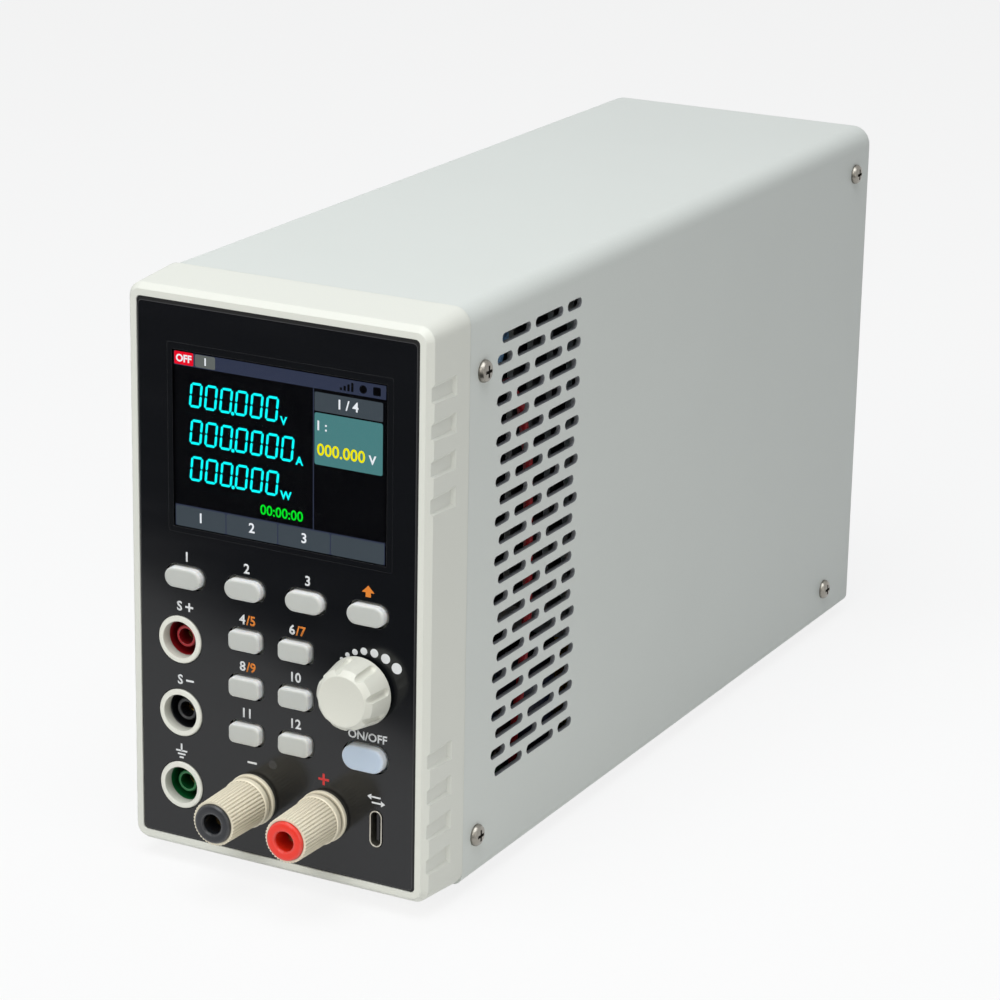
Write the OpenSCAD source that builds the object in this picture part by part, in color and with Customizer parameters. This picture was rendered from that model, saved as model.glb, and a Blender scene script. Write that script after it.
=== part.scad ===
// Bench DC electronic load: moulded bezel, printed panel, sheet metal sleeve, finned cooling tunnel.
// Millimetres. The front faces -Y and +Z is up. X is centred, and z = 0 is the table under the feet.

/* [Case] */
// Width of the sheet metal case
case_w = 82.5; // [81:0.5:96]
// Height of the case without its feet
case_h = 142; // [140:0.5:165]
// Depth from the bezel face to the rear edge of the cover
case_d = 252; // [248:1:320]
// Thickness of the cover, chassis and rear panel sheet
sheet_t = 1.2; // [1:0.1:1.5]
// Outer bend radius along the top edges of the cover
top_bend_r = 5; // [3:0.5:8]
// Outer bend radius along the bottom edges of the cover and chassis
bottom_bend_r = 2.5; // [2:0.1:4]
// Width of the lips that the cover turns in under the chassis
cover_lip = 18; // [18:0.5:24]
// Gap between the cover and what slides inside it
cover_clear = 0.2; // [0.1:0.05:0.3]
// Height of the upturned sides of the chassis
chassis_side_h = 18; // [16:0.5:22]

/* [Feet and screws] */
// Height of the rubber feet
foot_h = 3; // [2:0.5:6]
// Radius of the rubber feet
foot_r = 5; // [3.5:0.25:5.5]
// Distance from the case sides to the foot centres
foot_inset = 12; // [11:0.5:12.5]
// Distance from the ends of the cover to the foot centres
foot_setback = 10; // [8:0.5:30]
// Radius of the pan heads of the cover screws
screw_head_r = 2.7; // [2.4:0.1:3]
// Height of the pan heads
screw_head_h = 1.5; // [1.2:0.1:2]
// Radius of the cover screw shanks
screw_r = 1.5; // [1.3:0.1:1.6]
// Length of the cover screw shanks
screw_l = 6; // [5:0.5:8]
// Radial clearance round every screw shank
screw_clear = 0.15; // [0.1:0.05:0.25]
// Depth of the front screws from the bezel face
front_screw_y = 23.8; // [23:0.1:26]
// Distance of the upper front screws from the top of the case
front_screw_top_gap = 16.2; // [14:0.1:20]
// Height of the lower front screws
front_screw_low_z = 10.7; // [10:0.1:13]
// Distance of the upper rear screws from the rear edge
rear_screw_top_gap = 9.6; // [8:0.1:14]
// Distance of the upper rear screws from the top of the case
rear_screw_top_drop = 11.6; // [10:0.1:18]
// Distance of the lower rear screws from the rear edge
rear_screw_low_gap = 18.2; // [10:0.1:24]
// Height of the lower rear screws
rear_screw_low_z = 9.4; // [8:0.1:13]

/* [Side vents] */
// Height of each vent slot
vent_h = 2.45; // [1.8:0.05:2.8]
// Length of a full slot
vent_long = 14.1; // [10:0.1:16]
// Length of the short slot that ends each row
vent_short = 7.3; // [5:0.1:9]
// Metal left between two slots of a row
vent_gap = 2.4; // [1.6:0.1:3]
// Distance between two rows
vent_pitch = 4.9; // [4.2:0.05:4.95]
// Height below which no vent row is cut
vent_low_z = 23; // [20:0.5:80]
// Distance from the top of the case to the first row
vent_top_gap = 10.7; // [9:0.1:14]
// Depth of the first slot from the bezel face
vent_y = 30.6; // [30:0.1:40]
// Shift of every other row
vent_stagger = 2.1; // [0:0.1:4]

/* [Bezel] */
// Depth of the bezel
bezel_d = 17; // [16.5:0.1:19]
// How far the rear edge of the bezel stands proud of the cover
bezel_proud = 0.2; // [0.1:0.05:0.5]
// Draft of each side from the rear edge to the front chamfer
bezel_draft_x = 0.65; // [0.3:0.05:0.9]
// Draft of the top and the bottom
bezel_draft_z = 1.2; // [0.6:0.05:1.5]
// Width of the chamfer round the front
bezel_chamfer_w = 1.3; // [0.5:0.1:1.4]
// Depth of that chamfer
bezel_chamfer_d = 1.75; // [1:0.05:2.5]
// Width of the flat lip round the panel
bezel_lip = 1.6; // [1.5:0.1:2.4]
// Corner radius of the bezel at its rear edge
bezel_corner_r = 4.25; // [4:0.25:7]
// Thickness of the bezel sides
bezel_wall = 2.6; // [2.2:0.1:3]
// Thickness of the wall behind the panel
bezel_face_t = 2.5; // [2:0.1:3.5]
// Depth of the finger grips where they run out through the chamfer
grip_depth = 0.45; // [0.3:0.05:0.8]
// Height of the floor of a finger grip
grip_h = 3.3; // [2.5:0.1:4.5]
// Distance between two finger grips
grip_pitch = 8.8; // [7.5:0.1:9.5]
// How far the finger grips reach back
grip_l = 11.5; // [7:0.5:14]
// Number of finger grips in each group
grip_count = 4; // [2:1:4]
// Distance of the uppermost finger grip from the top of the case
grip_top_gap = 16.5; // [13:0.5:24]
// Height of the lowermost finger grip
grip_low_z = 10.6; // [10:0.1:20]

/* [Panel and display] */
// Thickness of the printed panel
panel_t = 1.2; // [0.8:0.1:1.6]
// How far the panel face lies behind the bezel lip
panel_set = 0.3; // [0.1:0.05:0.6]
// Gap round the panel in the bezel
panel_clear = 0.1; // [0.05:0.05:0.2]
// Corner radius of the panel
panel_r = 1.2; // [0.8:0.1:2]
// Width of the clear window
window_w = 60; // [56:0.5:64]
// Height of the display frame hidden above and below the window
window_rim_h = 2.2; // [1.5:0.1:4]
// Width of the display module
lcd_w = 69.2; // [66:0.2:70]
// Sideways place of the display centre
lcd_x = 0.7; // [-1:0.1:2]
// Height of the lower edge of the display
lcd_low_z = 80; // [79:0.1:84]
// Distance of the display from the top of the case
lcd_top_gap = 12; // [11.6:0.1:16]
// Thickness of the display glass and its frame
lcd_glass_t = 2.6; // [2:0.1:3.5]
// Narrowing of the carrier behind the glass on each side
lcd_carrier_in = 4; // [2:0.5:8]
// Gap round the display and the window
lcd_clear = 0.15; // [0.1:0.05:0.3]

/* [Front board] */
// Space between the bezel wall and the front board
board_gap = 7; // [6.5:0.1:8]
// Thickness of both circuit boards
board_t = 1.6; // [1.2:0.1:2]
// Gap round the front board in the bezel
board_edge_gap = 1; // [0.6:0.1:1.5]
// Radius of the screw bosses in the bezel
boss_r = 2.8; // [2.4:0.1:3]
// Radius of the board screws
board_screw_r = 1.25; // [1:0.05:1.4]
// Sideways place of the bosses
boss_x = 33; // [32.5:0.1:33.5]
// Distance of the upper bosses from the top of the case
boss_top_gap = 8; // [7.6:0.1:8.4]
// Height of the lower bosses
boss_low_z = 8; // [7.5:0.1:8]

/* [Keys] */
// Width of a soft key hole
soft_key_w = 11.1; // [9:0.1:12]
// Height of a soft key hole
soft_key_h = 6.1; // [4.8:0.1:6.6]
// Sideways place of the first soft key
soft_key_x = -25.16; // [-26:0.02:-24]
// Distance between two soft keys
soft_key_pitch = 16.65; // [16:0.05:17]
// Height of the soft key row
soft_key_z = 70.85; // [69.5:0.05:71.5]
// Width of a menu key hole
menu_key_w = 9.6; // [8:0.1:10]
// Height of a menu key hole
menu_key_h = 6; // [5:0.1:6.5]
// Corner radius of a menu key hole
menu_key_r = 2; // [1.2:0.1:2.4]
// Sideways place of the first menu key column
menu_key_x = -8.25; // [-9.5:0.05:-8]
// Distance between the two menu key columns
menu_key_pitch_x = 13.66; // [13:0.02:14.5]
// Height of the upper menu key row
menu_key_z = 58.1; // [57.5:0.1:59]
// Distance between two menu key rows
menu_key_pitch_z = 11.72; // [11:0.02:12]
// Width of the load key hole
load_key_w = 12.35; // [10:0.05:13]
// Height of the load key hole
load_key_h = 7.4; // [6:0.1:7.8]
// Sideways place of the load key
load_key_x = 24.35; // [23.5:0.05:25.5]
// Height of the load key
load_key_z = 35.3; // [34.5:0.1:36]
// How far the keys stand proud of the panel
key_proud = 1.7; // [1.4:0.1:3]
// Rounding round the key faces
key_round = 0.5; // [0.3:0.05:0.8]
// Gap between a key and its hole
key_gap = 0.6; // [0.4:0.05:0.7]
// Width of the flange that keeps a key behind the bezel wall
key_flange = 1.4; // [1.1:0.1:1.6]
// Thickness of that flange
key_flange_t = 1.2; // [0.8:0.1:1.5]
// Gap between the flange and the bezel wall
key_rest_gap = 0.2; // [0.1:0.05:0.3]
// Travel of every key
key_travel = 1; // [0.5:0.1:1.2]
// Thickness of the rubber mat that guides the keys
mat_t = 1.6; // [1.3:0.1:2.2]

/* [Knob] */
// Sideways place of the knob
knob_x = 23.4; // [23:0.1:24]
// Height of the knob axis
knob_z = 52.15; // [52:0.05:54]
// Radius of the knob at its base
knob_r = 8.5; // [8:0.1:9]
// Radius of the knob at its shoulder
knob_shoulder_r = 7.45; // [7:0.05:7.6]
// Width of the chamfer between the shoulder and the face
knob_chamfer_w = 1.25; // [0.6:0.05:1.5]
// Height of that chamfer
knob_chamfer_l = 1.4; // [0.8:0.1:2]
// Depth of the dish in the knob face
knob_dish = 0.5; // [0.2:0.1:1]
// Length of the knob
knob_l = 8.6; // [8:0.1:12]
// Gap between the knob and the panel face
knob_gap = 1; // [0.9:0.1:1.6]
// Number of flutes
knob_flutes = 8; // [6:1:12]
// Angle of the first flute
knob_flute_turn = 12; // [0:1:45]
// Radius of each flute
knob_flute_r = 1.05; // [0.9:0.05:1.3]
// Depth of the flutes
knob_flute_depth = 0.8; // [0.4:0.05:0.9]
// Travel of the knob when it is pushed
knob_push = 0.5; // [0.3:0.05:0.6]
// Radius of the encoder shaft
shaft_r = 3; // [2.8:0.05:3.2]
// Wall of the threaded bushing round the shaft
bushing_wall = 0.6; // [0.5:0.05:0.8]
// Side of the square encoder body
encoder_w = 13; // [12:0.1:13]
// Running clearance of the shaft in the bushing
shaft_clear = 0.05; // [0.02:0.01:0.08]

/* [Sense and earth sockets] */
// Sideways place of the socket column
socket_x = -26.8; // [-27.2:0.1:-26]
// Height of the upper socket
socket_z = 54.9; // [54.5:0.05:56]
// Distance between two sockets
socket_pitch = 18.66; // [18:0.02:19]
// Outer radius of the socket collars
collar_r = 5.95; // [5.7:0.01:6.2]
// Radius of the recess in a collar
collar_bore_r = 4.6; // [4:0.1:4.8]
// Depth of that recess
collar_recess = 13; // [10:0.5:16]
// How far the collars stand proud of the panel
collar_proud = 0.4; // [0.1:0.1:1]
// Depth of the plain rim of a collar, in front of its coloured lining
liner_set = 2.75; // [2:0.25:4]
// Wall of that lining
liner_wall = 0.6; // [0.4:0.05:0.7]
// Width of the flange that keeps a collar behind the wall
collar_flange = 1.2; // [0.8:0.1:1.3]
// Outer radius of the coloured sleeves
sleeve_r = 2.8; // [2.65:0.05:3.2]
// How far the sleeves lie behind the panel
sleeve_set = 2.5; // [1.5:0.1:4]
// How far the contacts lie behind the sleeve ends
contact_set = 4; // [2:0.5:6]
// Wall of a contact tube
contact_wall = 0.35; // [0.25:0.05:0.4]
// Radius of the plug bores
plug_r = 2; // [1.9:0.05:2.05]
// Depth of the plug bores
plug_bore = 18; // [14:0.5:20]
// Clearance between pieces pushed into one another
fit_clear = 0.05; // [0.03:0.01:0.08]

/* [Binding posts] */
// Sideways place of the negative post
post_x = -6.8; // [-7.4:0.1:-6.4]
// Distance between the two posts
post_pitch = 19.8; // [19:0.1:20.4]
// Height of the post axes
post_z = 18.1; // [17.8:0.1:18.4]
// How far the posts reach from the panel face
post_l = 18; // [16:0.5:24]
// Radius of the insulating base
post_base_r = 6.4; // [6.2:0.1:7]
// Thickness of that base
post_base_t = 1; // [0.8:0.1:1.6]
// Radius of the post cap where it meets the washer
cap_base_r = 6.15; // [5.9:0.05:6.4]
// Width of the smooth ring at the foot of the cap
cap_ring_l = 1.7; // [1.2:0.1:2.5]
// Radius of the grip next to that ring
cap_grip_r = 5.85; // [5.7:0.05:5.9]
// Radius of the grip at the tip
cap_tip_r = 5.55; // [5.4:0.05:5.65]
// Number of ribs round a cap
cap_ribs = 40; // [24:2:48]
// Height of those ribs
cap_rib_h = 0.25; // [0.1:0.05:0.3]
// Radius of the coloured insert
insert_r = 4.85; // [4.5:0.05:4.9]
// Length of the coloured insert
insert_l = 6; // [5:0.5:8]
// How far the insert stands out of the cap
insert_proud = 0.9; // [0.4:0.1:1.2]
// Radius of the hole in the insert
insert_hole_r = 2.5; // [2.2:0.05:2.6]
// Radius of the threaded stud
stud_r = 3; // [2.8:0.05:3.2]
// Thickness of the clamping washer
washer_t = 0.8; // [0.5:0.1:1.2]
// Radius of the clamping washer
washer_r = 5.7; // [5:0.1:5.9]
// Gap between the base, the washer and the cap
post_gap = 0.1; // [0.05:0.05:0.2]
// Width across the flats of the stud nuts
nut_flats = 10; // [9:0.5:11]
// Thickness of the stud nuts
nut_t = 4.5; // [3.5:0.5:5]
// Width of the copper bars behind the posts
bar_w = 12; // [10:0.5:13]
// Thickness of the copper bars
bar_t = 1.5; // [1:0.1:2]

/* [USB port] */
// Sideways place of the port
usb_x = 27.3; // [27:0.1:28.5]
// Height of the port centre
usb_z = 17.9; // [17.5:0.1:19]
// Long side of the port shell
usb_w = 9.2; // [8.8:0.05:9.5]
// Short side of the port shell
usb_h = 3.3; // [3:0.05:3.5]
// Thickness of the port shell
usb_wall = 0.3; // [0.2:0.05:0.4]

/* [Cooling] */
// Side of the square fan
fan_w = 60; // [58:0.5:62]
// Distance between the fan screws
fan_pitch = 50; // [49:0.5:51]
// Depth of the fan
fan_d = 25; // [24:0.5:28]
// Distance of the fan from the top of the case
fan_top_gap = 14; // [8:0.5:18]
// Radius of the fan hub
fan_hub_r = 13; // [11:0.5:15]
// Number of fan blades
fan_blades = 7; // [5:1:9]
// Gap between the blade tips and the fan frame
fan_tip_gap = 0.7; // [0.5:0.1:1.2]
// Radius of the wire of the fan guard
guard_wire_r = 0.9; // [0.7:0.1:1.2]
// Number of rings in the fan guard
guard_rings = 4; // [3:1:5]
// Gap between the heatsink and the fan
sink_fan_gap = 19.8; // [12:0.1:45]
// Distance from the bezel face to the heatsink
sink_y = 84; // [83:1:88]
// Distance of the heatsink fins from the top of the case
sink_top_gap = 14; // [8:1:30]
// Height of the underside of the heatsink
sink_low_z = 40; // [39:0.5:44]
// Thickness of the heatsink base
sink_base_t = 6; // [4:0.5:8]
// Thickness of a heatsink fin
fin_t = 1.6; // [1:0.1:2.2]
// Number of heatsink fins
fin_count = 13; // [7:1:15]
// Gap between the heatsink and the case sides
sink_side_gap = 6.5; // [5:0.5:9]

/* [Power board] */
// Height of the board spacers on the chassis
spacer_h = 6.5; // [5:0.5:7.5]
// Width across the flats of the spacers
spacer_flats = 5.5; // [5:0.5:6]
// Distance from the bezel face to the power board
power_board_y = 62; // [62:0.5:64]
// Gap between the power board and the rear edge of the case
power_board_rear_gap = 34; // [32:0.5:44]
// Gap between the power board and the chassis sides
power_board_gap = 2.5; // [1.5:0.5:4]
// Width of a power transistor
transistor_w = 15.9; // [14:0.1:16.5]
// Length of a power transistor
transistor_l = 20.8; // [19:0.1:21]
// Thickness of a power transistor
transistor_t = 5; // [4:0.1:5.5]
// Distance between two power transistors
transistor_pitch = 28; // [26:0.5:28]
// Width of the transformer
transformer_w = 24; // [18:0.5:28]
// Length of the transformer
transformer_l = 20; // [16:0.5:24]
// Height of the transformer
transformer_h = 20; // [16:0.5:22]
// Thickness of the ferrite core
core_t = 4; // [3:0.25:5]
// Radius of the filter capacitors
capacitor_r = 7.5; // [6:0.25:8]
// Height of the filter capacitors
capacitor_h = 25; // [18:0.5:26]
// Radius of the inner leads
lead_r = 1.2; // [0.8:0.1:1.4]
// Distance of the lead that runs beside the vents from the case side
lead_side_gap = 7.25; // [6.5:0.25:9]

/* [Mains inlet and switch] */
// Sideways place of the mains inlet
inlet_x = -13; // [-13.5:0.5:-12]
// Height of the mains inlet
inlet_z = 30; // [29:0.5:33]
// Width of the inlet flange
inlet_flange_w = 50; // [48:0.5:50]
// Height of the inlet flange
inlet_flange_h = 30; // [29:0.5:31]
// Thickness of the inlet flange
inlet_flange_t = 2.5; // [2:0.1:3]
// Distance between the inlet screws
inlet_pitch = 40; // [39:0.5:40.5]
// Width of the inlet body
inlet_w = 27.6; // [27:0.1:28.5]
// Height of the inlet body
inlet_h = 27; // [26.5:0.1:28]
// Depth of the inlet body behind the rear panel
inlet_d = 25; // [23:0.5:27]
// Width of an inlet blade
blade_w = 2; // [1.8:0.1:2.2]
// Height of an inlet blade
blade_h = 4; // [3.5:0.1:4.4]
// Distance between the two outer blades
blade_pitch = 14; // [13:0.5:15]
// Gap round what passes through the rear panel
rear_clear = 0.2; // [0.1:0.05:0.3]
// How far the fuse drawer slides out
drawer_travel = 20; // [10:1:22]
// Sideways place of the rocker switch
switch_x = 26; // [25:0.5:27]
// Width of the rocker switch body
switch_w = 13; // [12:0.5:14]
// Height of the rocker switch body
switch_h = 19.2; // [19:0.1:21]
// Depth of the switch body behind the rear panel
switch_d = 16; // [14:0.5:20]
// Width of the bezel round the switch body
switch_rim = 1; // [0.6:0.1:1.5]
// Radius of the rocker about its pivot
rocker_r = 8.6; // [8:0.1:8.7]
// Swing of the rocker between on and off
rocker_swing = 24; // [16:1:30]

/* [Hidden] */
$fn = 48;
EPS = 0.01;
THROUGH = 1;

// Depths of the front stack, counted back from the bezel lip
panel_y = panel_set;
face_y = panel_y + panel_t;
face_back_y = face_y + bezel_face_t;
board_y = face_back_y + board_gap;
board_back_y = board_y + board_t;
key_flange_y = face_back_y + key_rest_gap;
key_core_y = key_flange_y + key_flange_t;
key_stop_gap = 0.1;
key_back_y = board_y - key_travel - key_stop_gap;
mat_y = board_y - mat_t;
mat_clear = 0.3;

// Outlines of the bezel and what sits in it
bezel_w = case_w + 2 * bezel_proud;
bezel_h = case_h + 2 * bezel_proud;
mid_z = case_h / 2;
bezel_edge_r = bezel_corner_r - 0.45;
front_in_x = bezel_draft_x + bezel_chamfer_w;
front_in_z = bezel_draft_z + bezel_chamfer_w;
pocket_w = bezel_w - 2 * (front_in_x + bezel_lip);
pocket_h = bezel_h - 2 * (front_in_z + bezel_lip);
cavity_w = bezel_w - 2 * (bezel_draft_x + bezel_wall);
cavity_h = bezel_h - 2 * (bezel_draft_z + bezel_wall);
inner_half = case_w / 2 - sheet_t - cover_clear;
lug_t = 4;
lug_half = 5;
boss_top_z = case_h - boss_top_gap;
front_screw_top_z = case_h - front_screw_top_gap;
rear_screw_top_z = case_h - rear_screw_top_drop;
grip_top_z = case_h - grip_top_gap;
vent_rows = floor((case_h - vent_top_gap - vent_low_z) / vent_pitch) + 1;
lcd_h = case_h - lcd_top_gap - lcd_low_z;
lcd_z = lcd_low_z + lcd_h / 2;
window_h = lcd_h - 2 * window_rim_h;

// Keys: name, sideways place, height, hole width, hole height, corner radius
KEYS = [
  for (i = [0:3]) [["key_f1", "key_f2", "key_f3", "key_shift"][i],
    soft_key_x + i * soft_key_pitch, soft_key_z, soft_key_w, soft_key_h, soft_key_h / 2],
  for (i = [0:5]) [["key_current", "key_voltage", "key_trigger", "key_short", "key_escape", "key_enter"][i],
    menu_key_x + (i % 2) * menu_key_pitch_x, menu_key_z - floor(i / 2) * menu_key_pitch_z,
    menu_key_w, menu_key_h, menu_key_r],
  ["key_load", load_key_x, load_key_z, load_key_w, load_key_h, load_key_h / 2]
];
SOCKET_Z = [for (i = [0:2]) socket_z - i * socket_pitch];
POST_X = [post_x, post_x + post_pitch];

// Encoder: bushing, cavity and D shaft
bushing_r = shaft_r + shaft_clear + bushing_wall;
bushing_front_y = -1.2;
bushing_hole_gap = 0.2;
encoder_y = face_back_y + 0.5;
encoder_wall = 1;
encoder_base_t = 0.5;
encoder_cavity_y = encoder_y + encoder_wall;
encoder_cavity_back_y = board_y - encoder_base_t;
rotor_clear = 0.4;
rotor_r = encoder_w / 2 - encoder_wall - rotor_clear;
rotor_y = encoder_cavity_y + knob_push + 0.3;
rotor_t = 2.6;
d_shaft_r = shaft_r - 1;
d_flat = d_shaft_r * 0.6;
knob_y = panel_set - knob_gap;
knob_front_y = knob_y - knob_l;
knob_skirt_r = bushing_r + 1.6;
knob_skirt_l = 4;
shaft_front_y = knob_front_y + 2;
shaft_step_y = encoder_cavity_y + 0.1;
shaft_end_y = encoder_cavity_back_y - knob_push - 0.2;

// Sockets
collar_front_y = panel_set - collar_proud;
socket_hole_gap = 0.22;
collar_flange_t = 1.5;
collar_flange_y = face_back_y + 0.1;
sleeve_y = panel_set + sleeve_set;
contact_y = sleeve_y + contact_set;
contact_back_y = contact_y + plug_bore + 6;
collar_l = collar_recess + 4;
liner_r = collar_bore_r + liner_wall;
contact_r = plug_r + contact_wall;

// Posts, heights counted out from the panel face
post_bush_r = stud_r + 1.5;
washer_h = post_base_t + post_gap;
cap_h = washer_h + washer_t + post_gap;
stud_tip_h = post_l - insert_l - 1.2;
stud_back_y = board_back_y + 16;
bar_y = board_back_y + 3 + nut_t;
post_hole_gap = 0.2;

// Fan and heatsink
rear_y = case_d - sheet_t;
fan_y = rear_y - fan_d;
fan_z = case_h - fan_top_gap - fan_w / 2;
sink_l = fan_y - sink_fan_gap - sink_y;
sink_top_z = case_h - sink_top_gap;

// Chassis and board levels
floor_z = sheet_t;
floor_top_z = floor_z + sheet_t;
power_board_z = floor_top_z + spacer_h;
power_board_top_z = power_board_z + board_t;
chassis_y = front_screw_y + lug_half + 2;
chassis_half = inner_half;
power_board_l = case_d - power_board_rear_gap - power_board_y;
power_board_w = 2 * (chassis_half - sheet_t - power_board_gap);
spacer_in = 4;
spacer_setback = 5;
spacer_x = power_board_w / 2 - spacer_in;
sink_half = case_w / 2 - sheet_t - sink_side_gap;
pillar_in = 4;
pillar_setback = 8;
pillar_x = sink_half - pillar_in;
PILLAR_Y = [sink_y + pillar_setback, sink_y + sink_l - pillar_setback];
SPACER_Y = [power_board_y + spacer_setback, power_board_y + power_board_l - spacer_setback];

// Rear parts
fan_bore_r = fan_w / 2 - 1.2;
fan_hole_r = 2.2;
fan_screw_r = 1.9;
fan_screw_l = 12;
fan_head_r = 3.6;
fan_head_h = 2;
fan_shaft_r = 1.5;
hub_front_t = 2;
hub_gap = 0.8;
strut_t = 4;
guard_eye_r = fan_head_r + 0.9;
guard_y = case_d + guard_wire_r;
guard_eye_t = 1.5 * guard_wire_r;
socket_hood = 16;
hood_z = inlet_z + 4.2;
drawer_z = inlet_z - 9.2;
drawer_w = 23;
drawer_h = 5.6;
drawer_stay = 2;
drawer_l = drawer_travel + drawer_stay;
drawer_lip = 1.2;
drawer_wall = 1.2;
drawer_floor = 1;
DRAWER_SLOT = [8, 2];
inlet_face_y = case_d + inlet_flange_t;
rim_t = 1.5;
switch_z = inlet_z;
pivot_y = case_d + 0.6;
rocker_rise = 3;
rocker_dip = 1.6;
rocker_half = sqrt(rocker_r * rocker_r - rocker_rise * rocker_rise);
rocker_w = switch_w - 2.4;
rocker_gap = 0.3;
trunnion_r = 1;
rear_reach = pivot_y + rocker_rise * cos(rocker_swing / 2) + rocker_half * sin(rocker_swing / 2);
front_reach = panel_set - post_l;
mid_y = (front_reach + rear_reach) / 2;

// Colours
IVORY = [0.88, 0.87, 0.83];
CASE_GREY = [0.83, 0.85, 0.85];
PANEL_BLACK = [0.09, 0.1, 0.11];
KEY_GREY = [0.76, 0.77, 0.76];
KEY_BLUE = [0.73, 0.78, 0.87];
POST_CREAM = [0.87, 0.84, 0.75];
SIGNAL_RED = [0.93, 0.27, 0.17];
SIGNAL_BLACK = [0.15, 0.16, 0.18];
SIGNAL_GREEN = [0.15, 0.5, 0.3];
STEEL = [0.75, 0.75, 0.76];
ALUMINIUM = [0.7, 0.71, 0.72];
BRASS = [0.8, 0.65, 0.3];
COPPER = [0.75, 0.45, 0.28];
BOARD_GREEN = [0.1, 0.32, 0.18];
BLACK_PLASTIC = [0.08, 0.08, 0.09];

// Puts the part on its feet and centres it front to back
module in_frame() translate([0, -mid_y, foot_h]) children();

// Extrudes a drawing of the front view between two depths
module slab(y0, y1) translate([0, y1, 0]) rotate([90, 0, 0]) linear_extrude(y1 - y0) children();

// Extrudes a drawing of the side view between two widths
module across(x0, x1) translate([x0, 0, 0]) rotate([90, 0, 90]) linear_extrude(x1 - x0) children();

// Extrudes a drawing of the plan between two heights
module level(z0, z1) translate([0, 0, z0]) linear_extrude(z1 - z0) children();

// Turns +Z of a piece to the front and sets it at a place on the panel
module facing(x, z, y) translate([x, y, z]) rotate([90, 0, 0]) children();

module rounded(w, h, r) {
  square([w, h - 2 * r], center = true);
  square([w - 2 * r, h], center = true);
  for (sx = [-1, 1], sy = [-1, 1]) translate([sx * (w / 2 - r), sy * (h / 2 - r)]) circle(r);
}

module stadium(w, h) {
  square([w - h, h], center = true);
  for (s = [-1, 1]) translate([s * (w - h) / 2, 0]) circle(h / 2);
}

// A key outline: a stadium where the corner radius is half the height
module key_outline(w, h, r) {
  if (h > 2 * r + EPS) rounded(w, h, r);
  else stadium(w, h);
}

// Half of the side of a pad, with its upper edge rounded
function pad_edge(half, t, c) = [for (a = [0:30:90]) [half - c + c * cos(a), t - c + c * sin(a)]];

// A block with a rounded outline and a soft upper edge
module pad(w, h, r, t, c) {
  rows = h > 2 * r + EPS ? [-1, 1] : [0];
  for (sx = [-1, 1], sy = rows) translate([sx * (w / 2 - r), sy * (h / 2 - r), 0])
    rotate_extrude() polygon(concat([[0, 0], [r, 0]], pad_edge(r, t, c), [[0, t]]));
  translate([r - w / 2, 0, 0]) rotate([90, 0, 90]) linear_extrude(w - 2 * r) pad_section(h / 2, t, c);
  if (h > 2 * r + EPS)
    translate([0, h / 2 - r, 0]) rotate([90, 0, 0]) linear_extrude(h - 2 * r) pad_section(w / 2, t, c);
}

module pad_section(half, t, c) {
  edge = pad_edge(half, t, c);
  polygon(concat([[-half, 0], [half, 0]], edge, [for (i = [len(edge) - 1:-1:0]) [-edge[i][0], edge[i][1]]]));
}

// A pan head screw with a cross recess, its head on +Z and its seat at z = 0
module pan_screw(head_r, head_h, shank_r, shank_l) {
  cross_w = head_r * 0.28;
  cross_l = head_r * 1.1;
  difference() {
    rotate_extrude() polygon([[0, -shank_l], [shank_r, -shank_l], [shank_r, 0], [head_r, 0],
      [head_r, head_h * 0.4], [head_r * 0.85, head_h * 0.8], [head_r * 0.5, head_h], [0, head_h]]);
    for (turn = [0, 90]) rotate([0, 0, turn])
      translate([-cross_l / 2, -cross_w / 2, head_h * 0.4]) cube([cross_l, cross_w, head_h]);
  }
}

// Cross section of the case, moved in by a margin
module case_section(margin) {
  half = case_w / 2 - margin;
  top_r = top_bend_r - margin;
  low_r = bottom_bend_r - margin;
  low_z = margin;
  top_z = case_h - margin;
  translate([-half, low_z + low_r]) square([2 * half, top_z - top_r - low_z - low_r]);
  translate([top_r - half, low_z + low_r]) square([2 * (half - top_r), top_z - low_z - low_r]);
  translate([low_r - half, low_z]) square([2 * (half - low_r), top_z - top_r - low_z]);
  for (s = [-1, 1]) {
    translate([s * (half - top_r), top_z - top_r]) circle(top_r);
    translate([s * (half - low_r), low_z + low_r]) circle(low_r);
  }
}

// One row of vent slots in the side view
module vent_row(lengths, start) {
  for (i = [0:len(lengths) - 1]) {
    before = i == 0 ? 0 : i == 1 ? lengths[0] : lengths[0] + lengths[1];
    translate([start + before + i * vent_gap + lengths[i] / 2, 0]) stadium(lengths[i], vent_h);
  }
}

module vents() {
  for (row = [0:vent_rows - 1]) translate([0, case_h - vent_top_gap - row * vent_pitch])
    if (row % 2 == 0) vent_row([vent_long, vent_long, vent_short], vent_y + vent_stagger);
    else vent_row([vent_short, vent_long, vent_long], vent_y);
}

// Places of the side screws: depth and height
COVER_SCREWS = [[front_screw_y, front_screw_top_z], [front_screw_y, front_screw_low_z],
  [case_d - rear_screw_top_gap, rear_screw_top_z], [case_d - rear_screw_low_gap, rear_screw_low_z]];

module side_holes(places) across(-case_w, case_w)
  for (p = places) translate(p) circle(screw_r + screw_clear);

// Front bezel, printed panel and display

module bezel_section(in_x, in_z, r) translate([0, mid_z])
  rounded(bezel_w - 2 * in_x, bezel_h - 2 * in_z, r, $fn = 32);

module bezel_block() hull() {
  slab(0, EPS) bezel_section(front_in_x, front_in_z, bezel_edge_r - bezel_chamfer_w);
  slab(bezel_chamfer_d, bezel_chamfer_d + EPS) bezel_section(bezel_draft_x, bezel_draft_z, bezel_edge_r);
  slab(bezel_d - EPS, bezel_d) bezel_section(0, 0, bezel_corner_r);
}

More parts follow.
